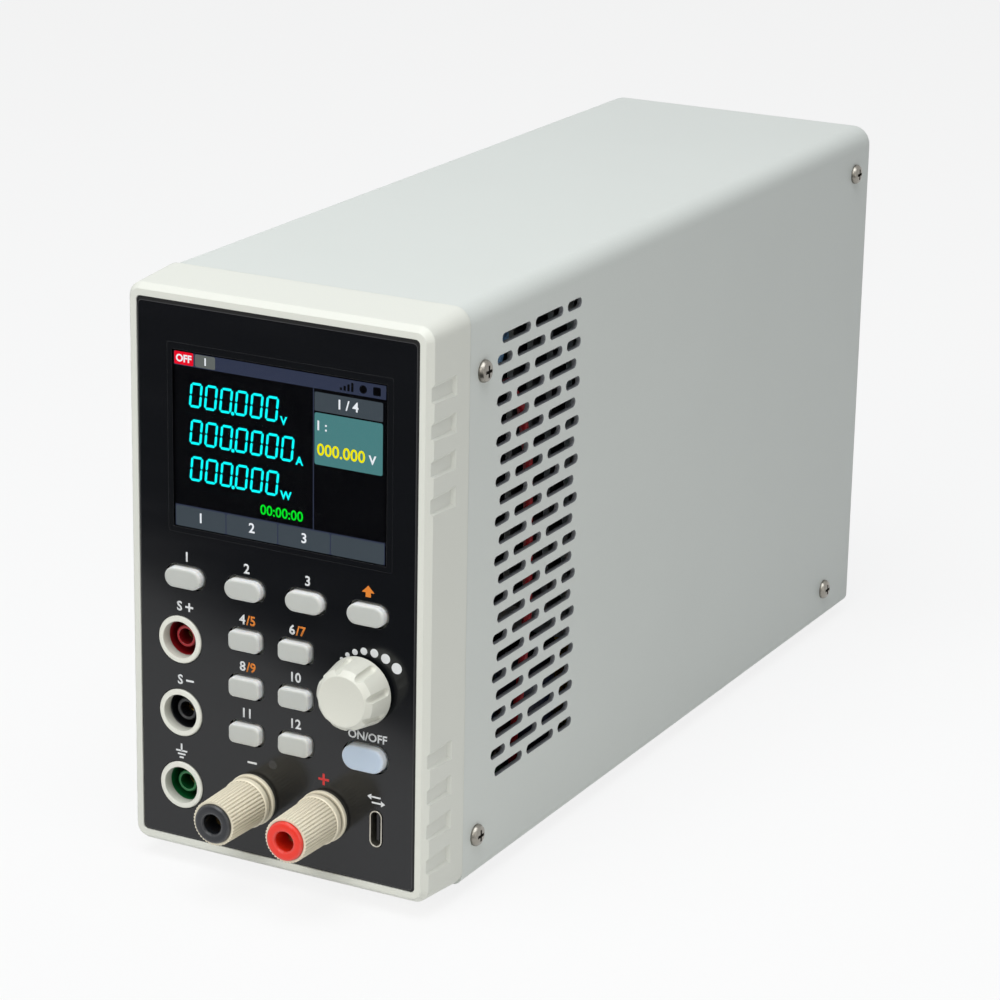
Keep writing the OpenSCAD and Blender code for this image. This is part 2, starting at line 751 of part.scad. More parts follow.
// Shallow trays that run out through the chamfer, with sloping walls above, below and behind
module grips() {
  skin = bezel_w / 2 + THROUGH;
  floor_x = bezel_w / 2 - bezel_draft_x - grip_depth;
  flare = skin - floor_x;
  floor_l = grip_l - 1;
  for (s = [-1, 1], i = [0:grip_count - 1], z = [grip_top_z - i * grip_pitch, grip_low_z + i * grip_pitch])
    intersection() {
      slab(-THROUGH, grip_l + flare) polygon([[s * floor_x, z - grip_h / 2], [s * floor_x, z + grip_h / 2],
        [s * skin, z + grip_h / 2 + flare], [s * skin, z - grip_h / 2 - flare]]);
      translate([0, 0, z - grip_pitch / 2]) linear_extrude(grip_pitch)
        polygon([[s * floor_x, -THROUGH], [s * floor_x, floor_l], [s * skin, floor_l + flare], [s * skin, -THROUGH]]);
    }
}

module front_bosses(r) for (s = [-1, 1], z = [boss_low_z, boss_top_z]) translate([s * boss_x, z]) circle(r);

// Every hole that the printed panel and the bezel wall share
module shared_holes() {
  for (k = KEYS) translate([k[1], k[2]]) key_outline(k[3], k[4], k[5]);
  for (z = SOCKET_Z) translate([socket_x, z]) circle(collar_r + socket_hole_gap);
  for (x = POST_X) translate([x, post_z]) circle(post_bush_r + post_hole_gap);
  translate([knob_x, knob_z]) circle(bushing_r + bushing_hole_gap);
  translate([usb_x, usb_z]) rotate(90) stadium(usb_w + 2 * bushing_hole_gap, usb_h + 2 * bushing_hole_gap);
}

module front_bezel() color(IVORY) difference() {
  union() {
    difference() {
      bezel_block();
      slab(-THROUGH, face_y) translate([0, mid_z]) rounded(pocket_w, pocket_h, panel_r);
      slab(face_back_y, bezel_d + THROUGH) translate([0, mid_z])
        rounded(cavity_w, cavity_h, bezel_corner_r - bezel_wall);
      slab(face_y - THROUGH, face_back_y + THROUGH) {
        shared_holes();
        translate([lcd_x, lcd_z]) square([lcd_w + 2 * lcd_clear, lcd_h + 2 * lcd_clear], center = true);
      }
      grips();
    }
    slab(face_back_y - EPS, board_y) front_bosses(boss_r);
    for (s = [-1, 1], z = [front_screw_top_z, front_screw_low_z])
      translate([s * (inner_half - lug_t / 2), 0, 0]) slab(board_back_y + 1, front_screw_y + lug_half)
        translate([0, z]) square([lug_t, 2 * lug_half], center = true);
  }
  slab(face_back_y, board_y + THROUGH) front_bosses(board_screw_r + screw_clear);
  side_holes([COVER_SCREWS[0], COVER_SCREWS[1]]);
}

module front_panel() color(PANEL_BLACK) slab(panel_y, face_y) difference() {
  translate([0, mid_z]) rounded(pocket_w - 2 * panel_clear, pocket_h - 2 * panel_clear, panel_r - panel_clear);
  shared_holes();
  translate([lcd_x, lcd_z]) square([window_w + 2 * lcd_clear, window_h + 2 * lcd_clear], center = true);
}

module display_window() color([0.6, 0.65, 0.7]) slab(panel_y, face_y)
  translate([lcd_x, lcd_z]) square([window_w, window_h], center = true);

module lcd_module() color([0.1, 0.12, 0.16]) {
  front_y = face_y + lcd_clear;
  slab(front_y, front_y + lcd_glass_t) translate([lcd_x, lcd_z]) square([lcd_w, lcd_h], center = true);
  slab(front_y + lcd_glass_t - EPS, board_y - lcd_clear) translate([lcd_x, lcd_z])
    square([lcd_w - 2 * lcd_carrier_in, lcd_h - 2 * lcd_carrier_in], center = true);
}

module front_board() color(BOARD_GREEN) slab(board_y, board_back_y) difference() {
  translate([0, mid_z]) square([cavity_w - 2 * board_edge_gap, cavity_h - 2 * board_edge_gap], center = true);
  front_bosses(board_screw_r + screw_clear);
  for (z = SOCKET_Z) translate([socket_x, z]) circle(collar_r + post_hole_gap);
  for (x = POST_X) translate([x, post_z]) circle(stud_r + 2);
}

// Keys and the mat that guides them

module key(k) {
  w = k[3] - 2 * key_gap;
  h = k[4] - 2 * key_gap;
  r = k[5] - key_gap;
  color(k[0] == "key_load" ? KEY_BLUE : KEY_GREY) {
    facing(k[1], k[2], key_flange_y + EPS) pad(w, h, r, key_flange_y + EPS - panel_set + key_proud, key_round);
    slab(key_flange_y, key_core_y) translate([k[1], k[2]])
      key_outline(w + 2 * key_flange, h + 2 * key_flange, r + key_flange);
    slab(key_core_y - EPS, key_back_y) translate([k[1], k[2]]) key_outline(w, h, r);
  }
}

module key_mat() color(KEY_GREY) slab(mat_y, board_y) difference() {
  border = 2;
  union() {
    row_w = 3 * soft_key_pitch + soft_key_w;
    translate([soft_key_x - soft_key_w / 2 - border, soft_key_z - soft_key_h / 2 - border])
      square([row_w + 2 * border, soft_key_h + 2 * border]);
    low_z = menu_key_z - 2 * menu_key_pitch_z - menu_key_h / 2 - border;
    left_x = menu_key_x - menu_key_w / 2 - border;
    translate([left_x, low_z]) square([menu_key_pitch_x + menu_key_w + 2 * border, soft_key_z - low_z]);
    translate([left_x, load_key_z - load_key_h / 2 - border])
      square([load_key_x + load_key_w / 2 + border - left_x, load_key_h + 2 * border]);
  }
  for (k = KEYS) translate([k[1], k[2]])
    key_outline(k[3] - 2 * key_gap + 2 * mat_clear, k[4] - 2 * key_gap + 2 * mat_clear,
      k[5] - key_gap + mat_clear);
}

// Rotary encoder and its knob

module encoder_body() color(STEEL) difference() {
  union() {
    slab(encoder_y, board_y) translate([knob_x, knob_z]) square(encoder_w, center = true);
    slab(bushing_front_y, encoder_y + EPS) translate([knob_x, knob_z]) circle(bushing_r);
  }
  slab(bushing_front_y - THROUGH, encoder_cavity_y + EPS) translate([knob_x, knob_z])
    circle(shaft_r + shaft_clear);
  slab(encoder_cavity_y, encoder_cavity_back_y) translate([knob_x, knob_z]) circle(rotor_r + rotor_clear);
}

// A round section with one flat, as on a D shaft
module d_section(r, flat) intersection() {
  circle(r);
  translate([-r, -r]) square([2 * r, r + flat]);
}

module encoder_rotor() color(BLACK_PLASTIC) slab(rotor_y, rotor_y + rotor_t) translate([knob_x, knob_z])
  difference() {
    circle(rotor_r);
    d_section(d_shaft_r + shaft_clear, d_flat + shaft_clear);
  }

module encoder_shaft() color(STEEL) {
  slab(shaft_front_y, shaft_step_y) translate([knob_x, knob_z]) circle(shaft_r);
  slab(shaft_step_y - EPS, shaft_end_y) translate([knob_x, knob_z]) d_section(d_shaft_r, d_flat);
}

// Tapered knob with a dished face and flutes that follow its side and end in a round
module knob() color(IVORY) facing(knob_x, knob_z, knob_y) difference() {
  rim = 0.5;
  dish_r = knob_shoulder_r - knob_chamfer_w - rim / 2;
  dish_steps = 5;
  shoulder_h = knob_l - knob_chamfer_l;
  lean = atan((knob_r - knob_shoulder_r) / shoulder_h);
  flute_l = 0.85 * shoulder_h - knob_flute_r;
  rotate_extrude() polygon([[0, 0], [knob_r - rim, 0], [knob_r, rim], [knob_shoulder_r, shoulder_h],
    [knob_shoulder_r - knob_chamfer_w, knob_l],
    for (i = [0:dish_steps]) [dish_r * (1 - i / dish_steps), knob_l - knob_dish * (1 - pow(1 - i / dish_steps, 2))]]);
  translate([0, 0, -THROUGH]) cylinder(h = knob_skirt_l + THROUGH, r = knob_skirt_r);
  cylinder(h = knob_y - shaft_front_y, r = shaft_r + fit_clear);
  for (i = [0:knob_flutes - 1]) rotate([0, 0, knob_flute_turn + i * 360 / knob_flutes])
    translate([knob_shoulder_r - knob_flute_depth + knob_flute_r, 0, shoulder_h]) rotate([0, -lean, 0])
      translate([0, 0, -flute_l]) {
        cylinder(h = flute_l + knob_l, r = knob_flute_r);
        sphere(knob_flute_r);
      }
}

// Shrouded sockets

module socket_collars() color(IVORY) for (z = SOCKET_Z) facing(socket_x, z, collar_front_y) {
  rim = 0.25;
  flange_h = collar_front_y - collar_flange_y;
  pocket_r = liner_r + fit_clear;
  rotate_extrude() polygon([[pocket_r, -collar_l], [collar_r, -collar_l], [collar_r, flange_h - collar_flange_t],
    [collar_r + collar_flange, flange_h - collar_flange_t], [collar_r + collar_flange, flange_h],
    [collar_r, flange_h], [collar_r, -rim], [collar_r - rim, 0], [collar_bore_r, 0], [collar_bore_r, -liner_set],
    [pocket_r, -liner_set]]);
}

// Coloured cup that lines a collar, with the sleeve standing on its floor
module socket_sleeve(i, tint) color(tint) facing(socket_x, SOCKET_Z[i], collar_front_y) {
  rim = 0.3;
  mouth_h = collar_front_y - sleeve_y;
  seat_r = contact_r + fit_clear;
  rotate_extrude() polygon([[seat_r, -collar_l], [liner_r, -collar_l], [liner_r, -liner_set],
    [collar_bore_r, -liner_set], [collar_bore_r, -collar_recess], [sleeve_r, -collar_recess],
    [sleeve_r, mouth_h - rim], [sleeve_r - rim, mouth_h], [plug_r, mouth_h], [plug_r, mouth_h - contact_set],
    [seat_r, mouth_h - contact_set]]);
}

module socket_contacts() color(BRASS) for (z = SOCKET_Z) difference() {
  slab(contact_y, contact_back_y) translate([socket_x, z]) circle(contact_r);
  slab(contact_y - THROUGH, contact_y + plug_bore) translate([socket_x, z]) circle(plug_r);
}

// Binding posts

module post_bases() color(POST_CREAM) for (x = POST_X) facing(x, post_z, panel_y) difference() {
  rim = 0.2;
  rotate_extrude() polygon([[0, panel_y - face_back_y], [post_bush_r, panel_y - face_back_y], [post_bush_r, 0],
    [post_base_r, 0], [post_base_r, post_base_t - rim], [post_base_r - rim, post_base_t], [0, post_base_t]]);
  translate([0, 0, -bezel_d]) cylinder(h = 2 * bezel_d, r = stud_r + fit_clear);
}

module post_studs() color(BRASS) for (x = POST_X) facing(x, post_z, panel_y) difference() {
  translate([0, 0, panel_y - stud_back_y]) cylinder(h = stud_tip_h + stud_back_y - panel_y, r = stud_r);
  translate([0, 0, stud_tip_h - plug_bore]) cylinder(h = plug_bore + THROUGH, r = plug_r);
}

// Hexagon nuts that hold each post and clamp its copper bar
module post_nuts() color(BRASS) {
  for (x = POST_X, y = [face_back_y, bar_y - nut_t, bar_y + bar_t]) slab(y, y + nut_t)
    translate([x, post_z]) difference() {
      circle(r = nut_flats / sqrt(3), $fn = 6);
      circle(stud_r + fit_clear);
    }
}

module post_washer(x) color(STEEL) facing(x, post_z, panel_y - washer_h) linear_extrude(washer_t) difference() {
  circle(washer_r);
  circle(stud_r + shaft_clear);
}

// Outline of a ribbed grip: four points to a rib
module ribbed_outline(r) {
  step = 360 / cap_ribs;
  corners = [[0, -cap_rib_h], [0.3, 0], [0.6, 0], [0.9, -cap_rib_h]];
  polygon([for (i = [0:cap_ribs - 1], c = corners)
    (r + c[1]) * [cos((i + c[0]) * step), sin((i + c[0]) * step)]]);
}

// A cap with a smooth ring at its foot and a tapered, ribbed grip
module post_cap(x) color(POST_CREAM) facing(x, post_z, panel_y) difference() {
  rim = 0.25;
  ring_h = cap_h + cap_ring_l;
  tip_h = post_l - insert_proud;
  union() {
    rotate_extrude() polygon([[0, cap_h], [cap_base_r - rim, cap_h], [cap_base_r, cap_h + rim],
      [cap_base_r, ring_h - rim], [cap_base_r - rim, ring_h], [0, ring_h]]);
    translate([0, 0, ring_h - rim])
      linear_extrude(tip_h - ring_h + rim, scale = cap_tip_r / cap_grip_r) ribbed_outline(cap_grip_r);
  }
  cylinder(h = post_l, r = stud_r + shaft_clear);
  translate([0, 0, post_l - insert_l]) cylinder(h = insert_l + THROUGH, r = insert_r + fit_clear);
}

module post_insert(x, tint) color(tint) facing(x, post_z, panel_y) {
  rim = 0.6;
  bevel = 0.25;
  rotate_extrude() polygon([[insert_hole_r, post_l - insert_l], [insert_r, post_l - insert_l],
    [insert_r, post_l - rim], [insert_r - rim * 0.3, post_l - rim * 0.3], [insert_r - rim, post_l],
    [insert_hole_r + bevel, post_l], [insert_hole_r, post_l - bevel]]);
}

// Copper bars from the post nuts to the power board
module bus_bars() color(COPPER) for (x = POST_X) difference() {
  union() {
    translate([x - bar_w / 2, bar_y, power_board_top_z])
      cube([bar_w, bar_t, post_z + bar_w / 2 - power_board_top_z]);
    translate([x - bar_w / 2, bar_y, power_board_top_z])
      cube([bar_w, power_board_y + bar_w - bar_y, bar_t]);
  }
  slab(bar_y - THROUGH, bar_y + bar_t + THROUGH) translate([x, post_z]) circle(stud_r + fit_clear);
}

// USB port

module usb_shell() color(STEEL) slab(panel_set - 0.2, board_y) translate([usb_x, usb_z]) rotate(90)
  difference() {
    stadium(usb_w, usb_h);
    stadium(usb_w - 2 * usb_wall, usb_h - 2 * usb_wall);
  }

module usb_tongue() color(BLACK_PLASTIC) slab(panel_set + 1, board_y) translate([usb_x, usb_z]) rotate(90)
  square([usb_w - usb_h + 0.8, usb_h * 0.22], center = true);

// Sheet metal

module outer_cover() color(CASE_GREY) difference() {
  slab(bezel_d, case_d) difference() {
    case_section(0);
    case_section(sheet_t);
    translate([cover_lip - case_w / 2, -THROUGH]) square([case_w - 2 * cover_lip, sheet_t + 2 * THROUGH]);
  }
  across(-case_w, case_w) vents();
  side_holes(COVER_SCREWS);
}

module bottom_chassis() color(STEEL) difference() {
  slab(bezel_d + cover_clear, case_d) difference() {
    chassis_section(0);
    chassis_section(sheet_t);
  }
  // The sides start behind the screw lugs of the bezel
  slab(0, chassis_y) translate([0, floor_top_z + chassis_side_h / 2 + bottom_bend_r])
    square([2 * case_w, chassis_side_h + 2 * bottom_bend_r - 2 * EPS], center = true);
  // and end before the flanges of the rear panel
  slab(rear_y - cover_clear, case_d + THROUGH) translate([0, floor_top_z + chassis_side_h])
    square([2 * case_w, 2 * chassis_side_h - EPS], center = true);
  side_holes([COVER_SCREWS[3]]);
}

// A tray section with bent corners, open at the top
module chassis_section(margin) {
  half = chassis_half - margin;
  r = bottom_bend_r - margin;
  low_z = floor_z + margin;
  top_z = floor_z + chassis_side_h + 2 * margin;
  translate([-half, low_z + r]) square([2 * half, top_z - low_z - r]);
  translate([r - half, low_z]) square([2 * (half - r), r + EPS]);
  for (s = [-1, 1]) translate([s * (half - r), low_z + r]) circle(r);
}

module rear_panel() color(CASE_GREY) difference() {
  low_z = floor_top_z + cover_clear;
  top_z = case_h - sheet_t - cover_clear;
  flange_l = rear_screw_top_gap + 6;
  union() {
    slab(rear_y, case_d) difference() {
      union() {
        translate([-inner_half, low_z]) square([2 * inner_half, top_z - top_bend_r - low_z]);
        translate([top_bend_r - inner_half, low_z]) square([2 * (inner_half - top_bend_r), top_z - low_z]);
        for (s = [-1, 1]) translate([s * (inner_half - top_bend_r), top_z - top_bend_r]) circle(top_bend_r);
      }
      translate([0, fan_z]) {
        circle(fan_bore_r);
        for (sx = [-1, 1], sz = [-1, 1]) translate([sx, sz] * fan_pitch / 2) circle(fan_hole_r);
      }
      translate([inlet_x, inlet_z]) rounded(inlet_w + 2 * rear_clear, inlet_h + 2 * rear_clear, 2);
      for (s = [-1, 1]) translate([inlet_x + s * inlet_pitch / 2, inlet_z]) circle(screw_r + screw_clear);
      translate([switch_x, switch_z]) square([switch_w + 2 * rear_clear, switch_h + 2 * rear_clear], center = true);
    }
    for (s = [-1, 1]) translate([s * (inner_half - sheet_t / 2), 0, 0]) slab(case_d - flange_l, rear_y + EPS)
      translate([0, rear_screw_top_z - 2]) square([sheet_t, 12], center = true);
  }
  side_holes([COVER_SCREWS[2]]);
}

module cover_screws() color(STEEL) for (s = [-1, 1], p = COVER_SCREWS)
  translate([s * case_w / 2, p[0], p[1]]) rotate([0, s * 90, 0])
    pan_screw(screw_head_r, screw_head_h, screw_r, screw_l);

module feet() color(BLACK_PLASTIC)
  for (s = [-1, 1], y = [bezel_d + foot_setback, case_d - foot_setback])
    translate([s * (case_w / 2 - foot_inset), y, 0]) mirror([0, 0, 1])
      rotate_extrude() polygon([[0, 0], [foot_r, 0], [foot_r - 0.6, foot_h - 0.4], [foot_r - 1, foot_h], [0, foot_h]]);

// Power stage

module heatsink() color(ALUMINIUM) slab(sink_y, sink_y + sink_l) {
  translate([-sink_half, sink_low_z]) square([2 * sink_half, sink_base_t]);
  step = (2 * sink_half - fin_t) / (fin_count - 1);
  for (i = [0:fin_count - 1]) translate([i * step - sink_half, sink_low_z + EPS])
    square([fin_t, sink_top_z - sink_low_z - EPS]);
}

// Transistors under the heatsink base, each with three bent legs down to the board
module power_transistors() color(BLACK_PLASTIC) {
  leg_w = 1.2;
  leg_t = 0.6;
  leg_out = 3;
  leg_pitch = 5.45;
  top = sink_low_z;
  for (s = [-1, 1], i = [0:2]) translate([s * transistor_w * 0.75, sink_y + 12 + i * transistor_pitch, 0]) {
    translate([-transistor_w / 2, 0, top - transistor_t]) cube([transistor_w, transistor_l, transistor_t]);
    for (leg = [-1:1]) translate([leg * leg_pitch - leg_w / 2, -leg_out, 0]) {
      translate([0, 0, power_board_top_z]) cube([leg_w, leg_t, top - transistor_t / 2 - power_board_top_z]);
      translate([0, 0, top - transistor_t / 2 - leg_t]) cube([leg_w, leg_out + EPS, leg_t]);
    }
  }
}

module power_board() color(BOARD_GREEN) level(power_board_z, power_board_top_z) difference() {
  translate([-power_board_w / 2, power_board_y]) square([power_board_w, power_board_l]);
  for (s = [-1, 1], y = PILLAR_Y) translate([s * pillar_x, y]) circle(spacer_flats / sqrt(3) + 1);
}

// Hexagon spacers under the power board and tall pillars under the heatsink
module spacers() color(BRASS) {
  for (s = [-1, 1], y = SPACER_Y) translate([s * spacer_x, y, floor_top_z])
    cylinder(h = spacer_h, r = spacer_flats / sqrt(3), $fn = 6);
  for (s = [-1, 1], y = PILLAR_Y) translate([s * pillar_x, y, floor_top_z])
    cylinder(h = sink_low_z - floor_top_z, r = spacer_flats / sqrt(3), $fn = 6);
}

module capacitors() color([0.12, 0.14, 0.2]) for (s = [-1, 1])
  translate([s * (power_board_w / 2 - capacitor_r - 0.5), power_board_y + capacitor_r + 3, power_board_top_z])
    rotate_extrude() polygon([[0, 0], [capacitor_r, 0], [capacitor_r, 2], [capacitor_r - 0.5, 2.5],
      [capacitor_r, 3], [capacitor_r, capacitor_h - 0.6], [capacitor_r - 0.6, capacitor_h], [0, capacitor_h]]);

// Ferrite core round a taped winding
module transformer() color([0.75, 0.66, 0.3]) {
  leg_l = transformer_l / 4;
  setback = 12;
  window_t = transformer_h - 2 * core_t;
  translate([-transformer_w / 2, power_board_y + power_board_l - transformer_l - setback, power_board_top_z]) {
    difference() {
      cube([transformer_w, transformer_l, transformer_h]);
      for (y = [-THROUGH, transformer_l - leg_l]) translate([-THROUGH, y, core_t])
        cube([transformer_w + 2 * THROUGH, leg_l + THROUGH, window_t]);
    }
    translate([core_t, 1, core_t - EPS])
      cube([transformer_w - 2 * core_t, transformer_l - 2, window_t + 2 * EPS]);
  }
}

// Routes of the two inner leads, from the front board up beside the vents and down to the power board
lead_x = case_w / 2 - lead_side_gap;
RED_ROUTE = [[lead_x, board_back_y, case_h - 52], [lead_x, board_back_y + 5, case_h - 52],
  [lead_x + 0.5, board_back_y + 10, case_h - 49], [lead_x + 1, board_back_y + 14, case_h - 42],
  [lead_x + 1, board_back_y + 20, case_h - 32], [lead_x + 1, board_back_y + 27, case_h - 26],
  [lead_x + 0.5, board_back_y + 36, case_h - 26], [lead_x, board_back_y + 44, case_h - 34],
  [lead_x, board_back_y + 48, case_h - 48], [lead_x, board_back_y + 49, case_h - 66],
  [lead_x, power_board_y, 54], [lead_x - 2, power_board_y + 1, 34],
  [lead_x - 4, power_board_y + 1.6, 20], [lead_x - 4, power_board_y + 1.6, power_board_top_z]];
BLUE_ROUTE = [[lead_x - 4, board_back_y, case_h - 16], [lead_x - 4, board_back_y + 5, case_h - 16],
  [lead_x - 2.5, board_back_y + 12, case_h - 18], [lead_x - 0.5, board_back_y + 20, case_h - 22],
  [lead_x + 0.5, board_back_y + 28, case_h - 20.5], [lead_x - 1, board_back_y + 36, case_h - 16],
  [lead_x - 5, board_back_y + 44, case_h - 17], [lead_x - 10, board_back_y + 50, case_h - 26],
  [lead_x - 14, board_back_y + 53, case_h - 42], [lead_x - 16, board_back_y + 54, case_h - 62],
  [lead_x - 17, board_back_y + 54, 60], [lead_x - 18, board_back_y + 53, 40],
  [lead_x - 18, power_board_y + 16, 22], [lead_x - 18, power_board_y + 16, power_board_top_z]];

function unit(v) = v / norm(v);
function tangent(route, i) =
  unit(route[min(i + 1, len(route) - 1)] - route[max(i - 1, 0)]);
function ring(route, i, r, sides) =
  let (t = tangent(route, i), u = unit(cross(t, [1, 0.02, 0.01])), v = cross(t, u))
  [for (k = [0:sides - 1]) route[i] + r * (cos(k * 360 / sides) * u + sin(k * 360 / sides) * v)];

// A round lead along a route
module lead(route, r) {
  sides = 8;
  last = len(route) - 1;
  points = [for (i = [0:last]) each ring(route, i, r, sides)];
  walls = [for (i = [0:last - 1], k = [0:sides - 1])
    [i * sides + k, i * sides + (k + 1) % sides, (i + 1) * sides + (k + 1) % sides, (i + 1) * sides + k]];
  polyhedron(points, concat([[for (k = [sides - 1:-1:0]) k]], walls, [[for (k = [0:sides - 1]) last * sides + k]]));
}

module red_lead() color(SIGNAL_RED) lead(RED_ROUTE, lead_r);

module blue_lead() color([0.3, 0.5, 0.85]) lead(BLUE_ROUTE, lead_r);

// Fan

module at_fan(y) translate([0, y, fan_z]) rotate([-90, 0, 0]) children();

module fan_frame() color(BLACK_PLASTIC) at_fan(fan_y) difference() {
  union() {
    linear_extrude(fan_d) difference() {
      rounded(fan_w, fan_w, 4);
      circle(fan_bore_r);
    }
    translate([0, 0, fan_d - strut_t]) {
      cylinder(h = strut_t, r = fan_hub_r);
      for (a = [45:90:315]) rotate([0, 0, a]) translate([fan_hub_r - 1, -1.5, 0])
        cube([fan_bore_r - fan_hub_r + 2, 3, strut_t]);
    }
    translate([0, 0, hub_front_t + 3]) cylinder(h = fan_d - hub_front_t - 3 - EPS, r = fan_shaft_r + 2.5);
    translate([0, 0, hub_front_t + 6]) cylinder(h = fan_d - hub_front_t - 6 - strut_t - 3, r = fan_hub_r - 4);
  }
  translate([0, 0, -THROUGH]) cylinder(h = fan_d - 1, r = fan_shaft_r + shaft_clear);
  for (sx = [-1, 1], sz = [-1, 1]) translate([sx * fan_pitch / 2, sz * fan_pitch / 2, -THROUGH])
    cylinder(h = fan_d + 2 * THROUGH, r = fan_hole_r);
}

// Hub cup with pitched blades and its steel shaft
module fan_impeller() color(BLACK_PLASTIC) at_fan(fan_y) {
  cup_l = fan_d - strut_t - hub_gap;
  blade_l = cup_l - 3;
  blade_pitch = 38;
  blade_t = 1.4;
  tip_r = fan_bore_r - fan_tip_gap;
  difference() {
    translate([0, 0, 1]) cylinder(h = cup_l - 1, r = fan_hub_r);
    translate([0, 0, 1 + hub_front_t]) cylinder(h = cup_l, r = fan_hub_r - 1.5);
  }
  intersection() {
    for (i = [0:fan_blades - 1]) rotate([0, 0, i * 360 / fan_blades])
      translate([fan_hub_r - 0.6, 0, 1.5 + blade_l / 2]) rotate([blade_pitch, 0, 0])
        translate([0, -blade_t / 2, -blade_l]) cube([fan_bore_r, blade_t, 2 * blade_l]);
    translate([0, 0, 1.5]) difference() {
      cylinder(h = blade_l, r = tip_r);
      translate([0, 0, -THROUGH]) cylinder(h = blade_l + 2 * THROUGH, r = fan_hub_r - 0.8);
    }
  }
  translate([0, 0, 1 + EPS]) cylinder(h = fan_d - 4, r = fan_shaft_r);
}

// Wire guard: rings on two crossing wires that end in screw eyes
module fan_guard() color(STEEL) translate([0, guard_y, fan_z]) rotate([-90, 0, 0]) {
  reach = fan_pitch / 2 * sqrt(2);
  first = 8;
  step = (fan_bore_r - 1.5 - first) / (guard_rings - 1);
  for (i = [0:guard_rings - 1]) translate([0, 0, guard_wire_r]) rotate_extrude()
    translate([first + i * step, 0]) circle(guard_wire_r);
  for (a = [45:90:315]) rotate([0, 0, a]) {
    translate([first, 0, 0]) rotate([0, 90, 0])
      cylinder(h = reach - fan_head_r - 6 * fit_clear - first, r = guard_wire_r);
    translate([reach, 0, -guard_wire_r]) difference() {
      cylinder(h = guard_eye_t, r = guard_eye_r);
      translate([0, 0, -THROUGH]) cylinder(h = guard_eye_t + 2 * THROUGH, r = fan_hole_r);
    }
  }
}

// Screws of the front board, the fan and the mains inlet
module machine_screws() color(STEEL) {
  for (s = [-1, 1], z = [boss_low_z, boss_top_z]) translate([s * boss_x, board_back_y, z])
    rotate([-90, 0, 0]) pan_screw(board_screw_r * 1.8, 1.4, board_screw_r, board_t + 4.5);
  for (sx = [-1, 1], sz = [-1, 1])
    translate([sx * fan_pitch / 2, guard_y + guard_eye_t - guard_wire_r, fan_z + sz * fan_pitch / 2])
      rotate([-90, 0, 0]) pan_screw(fan_head_r, fan_head_h, fan_screw_r, fan_screw_l);
  for (s = [-1, 1]) translate([inlet_x + s * inlet_pitch / 2, inlet_face_y, inlet_z])
    rotate([-90, 0, 0]) pan_screw(screw_head_r, screw_head_h, screw_r, inlet_flange_t + 6);
}

// Mains inlet

module hood_outline(w, h, bevel) polygon([[-w / 2, -h / 2], [w / 2, -h / 2], [w / 2, h / 2 - bevel],
  [w / 2 - bevel, h / 2], [bevel - w / 2, h / 2], [-w / 2, h / 2 - bevel]]);

// The three blades: sideways place and height
BLADES = [[inlet_x - blade_pitch / 2, hood_z - blade_h / 4], [inlet_x + blade_pitch / 2, hood_z - blade_h / 4],
  [inlet_x, hood_z + blade_h * 0.75]];
blade_back_y = case_d - inlet_d - 6;
blade_tip_y = inlet_face_y - 2.5;

module blade_sections(gap) for (b = BLADES) translate([b[0], b[1]])
  square([blade_w + 2 * gap, blade_h + 2 * gap], center = true);

module mains_inlet() color(BLACK_PLASTIC) difference() {
  union() {
    slab(case_d - inlet_d, case_d + EPS) translate([inlet_x, inlet_z]) rounded(inlet_w, inlet_h, 1.5);
    slab(case_d, inlet_face_y) translate([inlet_x, inlet_z]) rounded(inlet_flange_w, inlet_flange_h, 3);
  }
  slab(inlet_face_y - socket_hood, inlet_face_y + THROUGH) translate([inlet_x, hood_z]) hood_outline(24.2, 16.4, 5);
  slab(case_d - inlet_d - THROUGH, inlet_face_y) blade_sections(fit_clear);
  slab(inlet_face_y - drawer_l - rear_clear, inlet_face_y + THROUGH) translate([inlet_x, drawer_z])
    square([drawer_w + 2 * rear_clear, drawer_h + 2 * rear_clear], center = true);
  slab(case_d - THROUGH, inlet_face_y + THROUGH) for (s = [-1, 1])
    translate([inlet_x + s * inlet_pitch / 2, inlet_z]) circle(screw_r + screw_clear);
}

module inlet_pins() color(BRASS) slab(blade_back_y, blade_tip_y) blade_sections(0);

// A tray for one glass fuse, with a finger lip
module fuse_drawer() color(BLACK_PLASTIC) difference() {
  union() {
    slab(inlet_face_y - drawer_l, inlet_face_y + rear_clear + EPS) translate([inlet_x, drawer_z])
      square([drawer_w, drawer_h], center = true);
    slab(inlet_face_y + rear_clear, inlet_face_y + rear_clear + drawer_lip) translate([inlet_x, drawer_z])
      square([drawer_w + drawer_lip, drawer_h + drawer_lip], center = true);
  }
  translate([inlet_x - drawer_w / 2 + drawer_wall, inlet_face_y - drawer_l + drawer_wall,
    drawer_z - drawer_h / 2 + drawer_floor])
    cube([drawer_w - 2 * drawer_wall, drawer_l - 2 * drawer_wall, drawer_h]);
  slab(inlet_face_y + rear_clear + drawer_lip / 2, inlet_face_y + 2 * drawer_lip)
    translate([inlet_x, drawer_z]) square(DRAWER_SLOT, center = true);
}

// Rocker switch

module switch_body() color(BLACK_PLASTIC) difference() {
  rim_y = case_d + rim_t;
  union() {
    slab(case_d - switch_d, case_d + EPS) translate([switch_x, switch_z]) square([switch_w, switch_h], center = true);
    slab(case_d, rim_y) translate([switch_x, switch_z])
      rounded(switch_w + 2 * switch_rim, switch_h + 2 * switch_rim, 1.2);
  }
  across(switch_x - rocker_w / 2 - rocker_gap, switch_x + rocker_w / 2 + rocker_gap)
    translate([pivot_y, switch_z]) circle(rocker_r + rocker_gap);
  across(switch_x - rocker_w / 2 - rocker_gap - trunnion_r, switch_x + rocker_w / 2 + rocker_gap + trunnion_r)
    translate([pivot_y, switch_z]) circle(trunnion_r + shaft_clear);
}

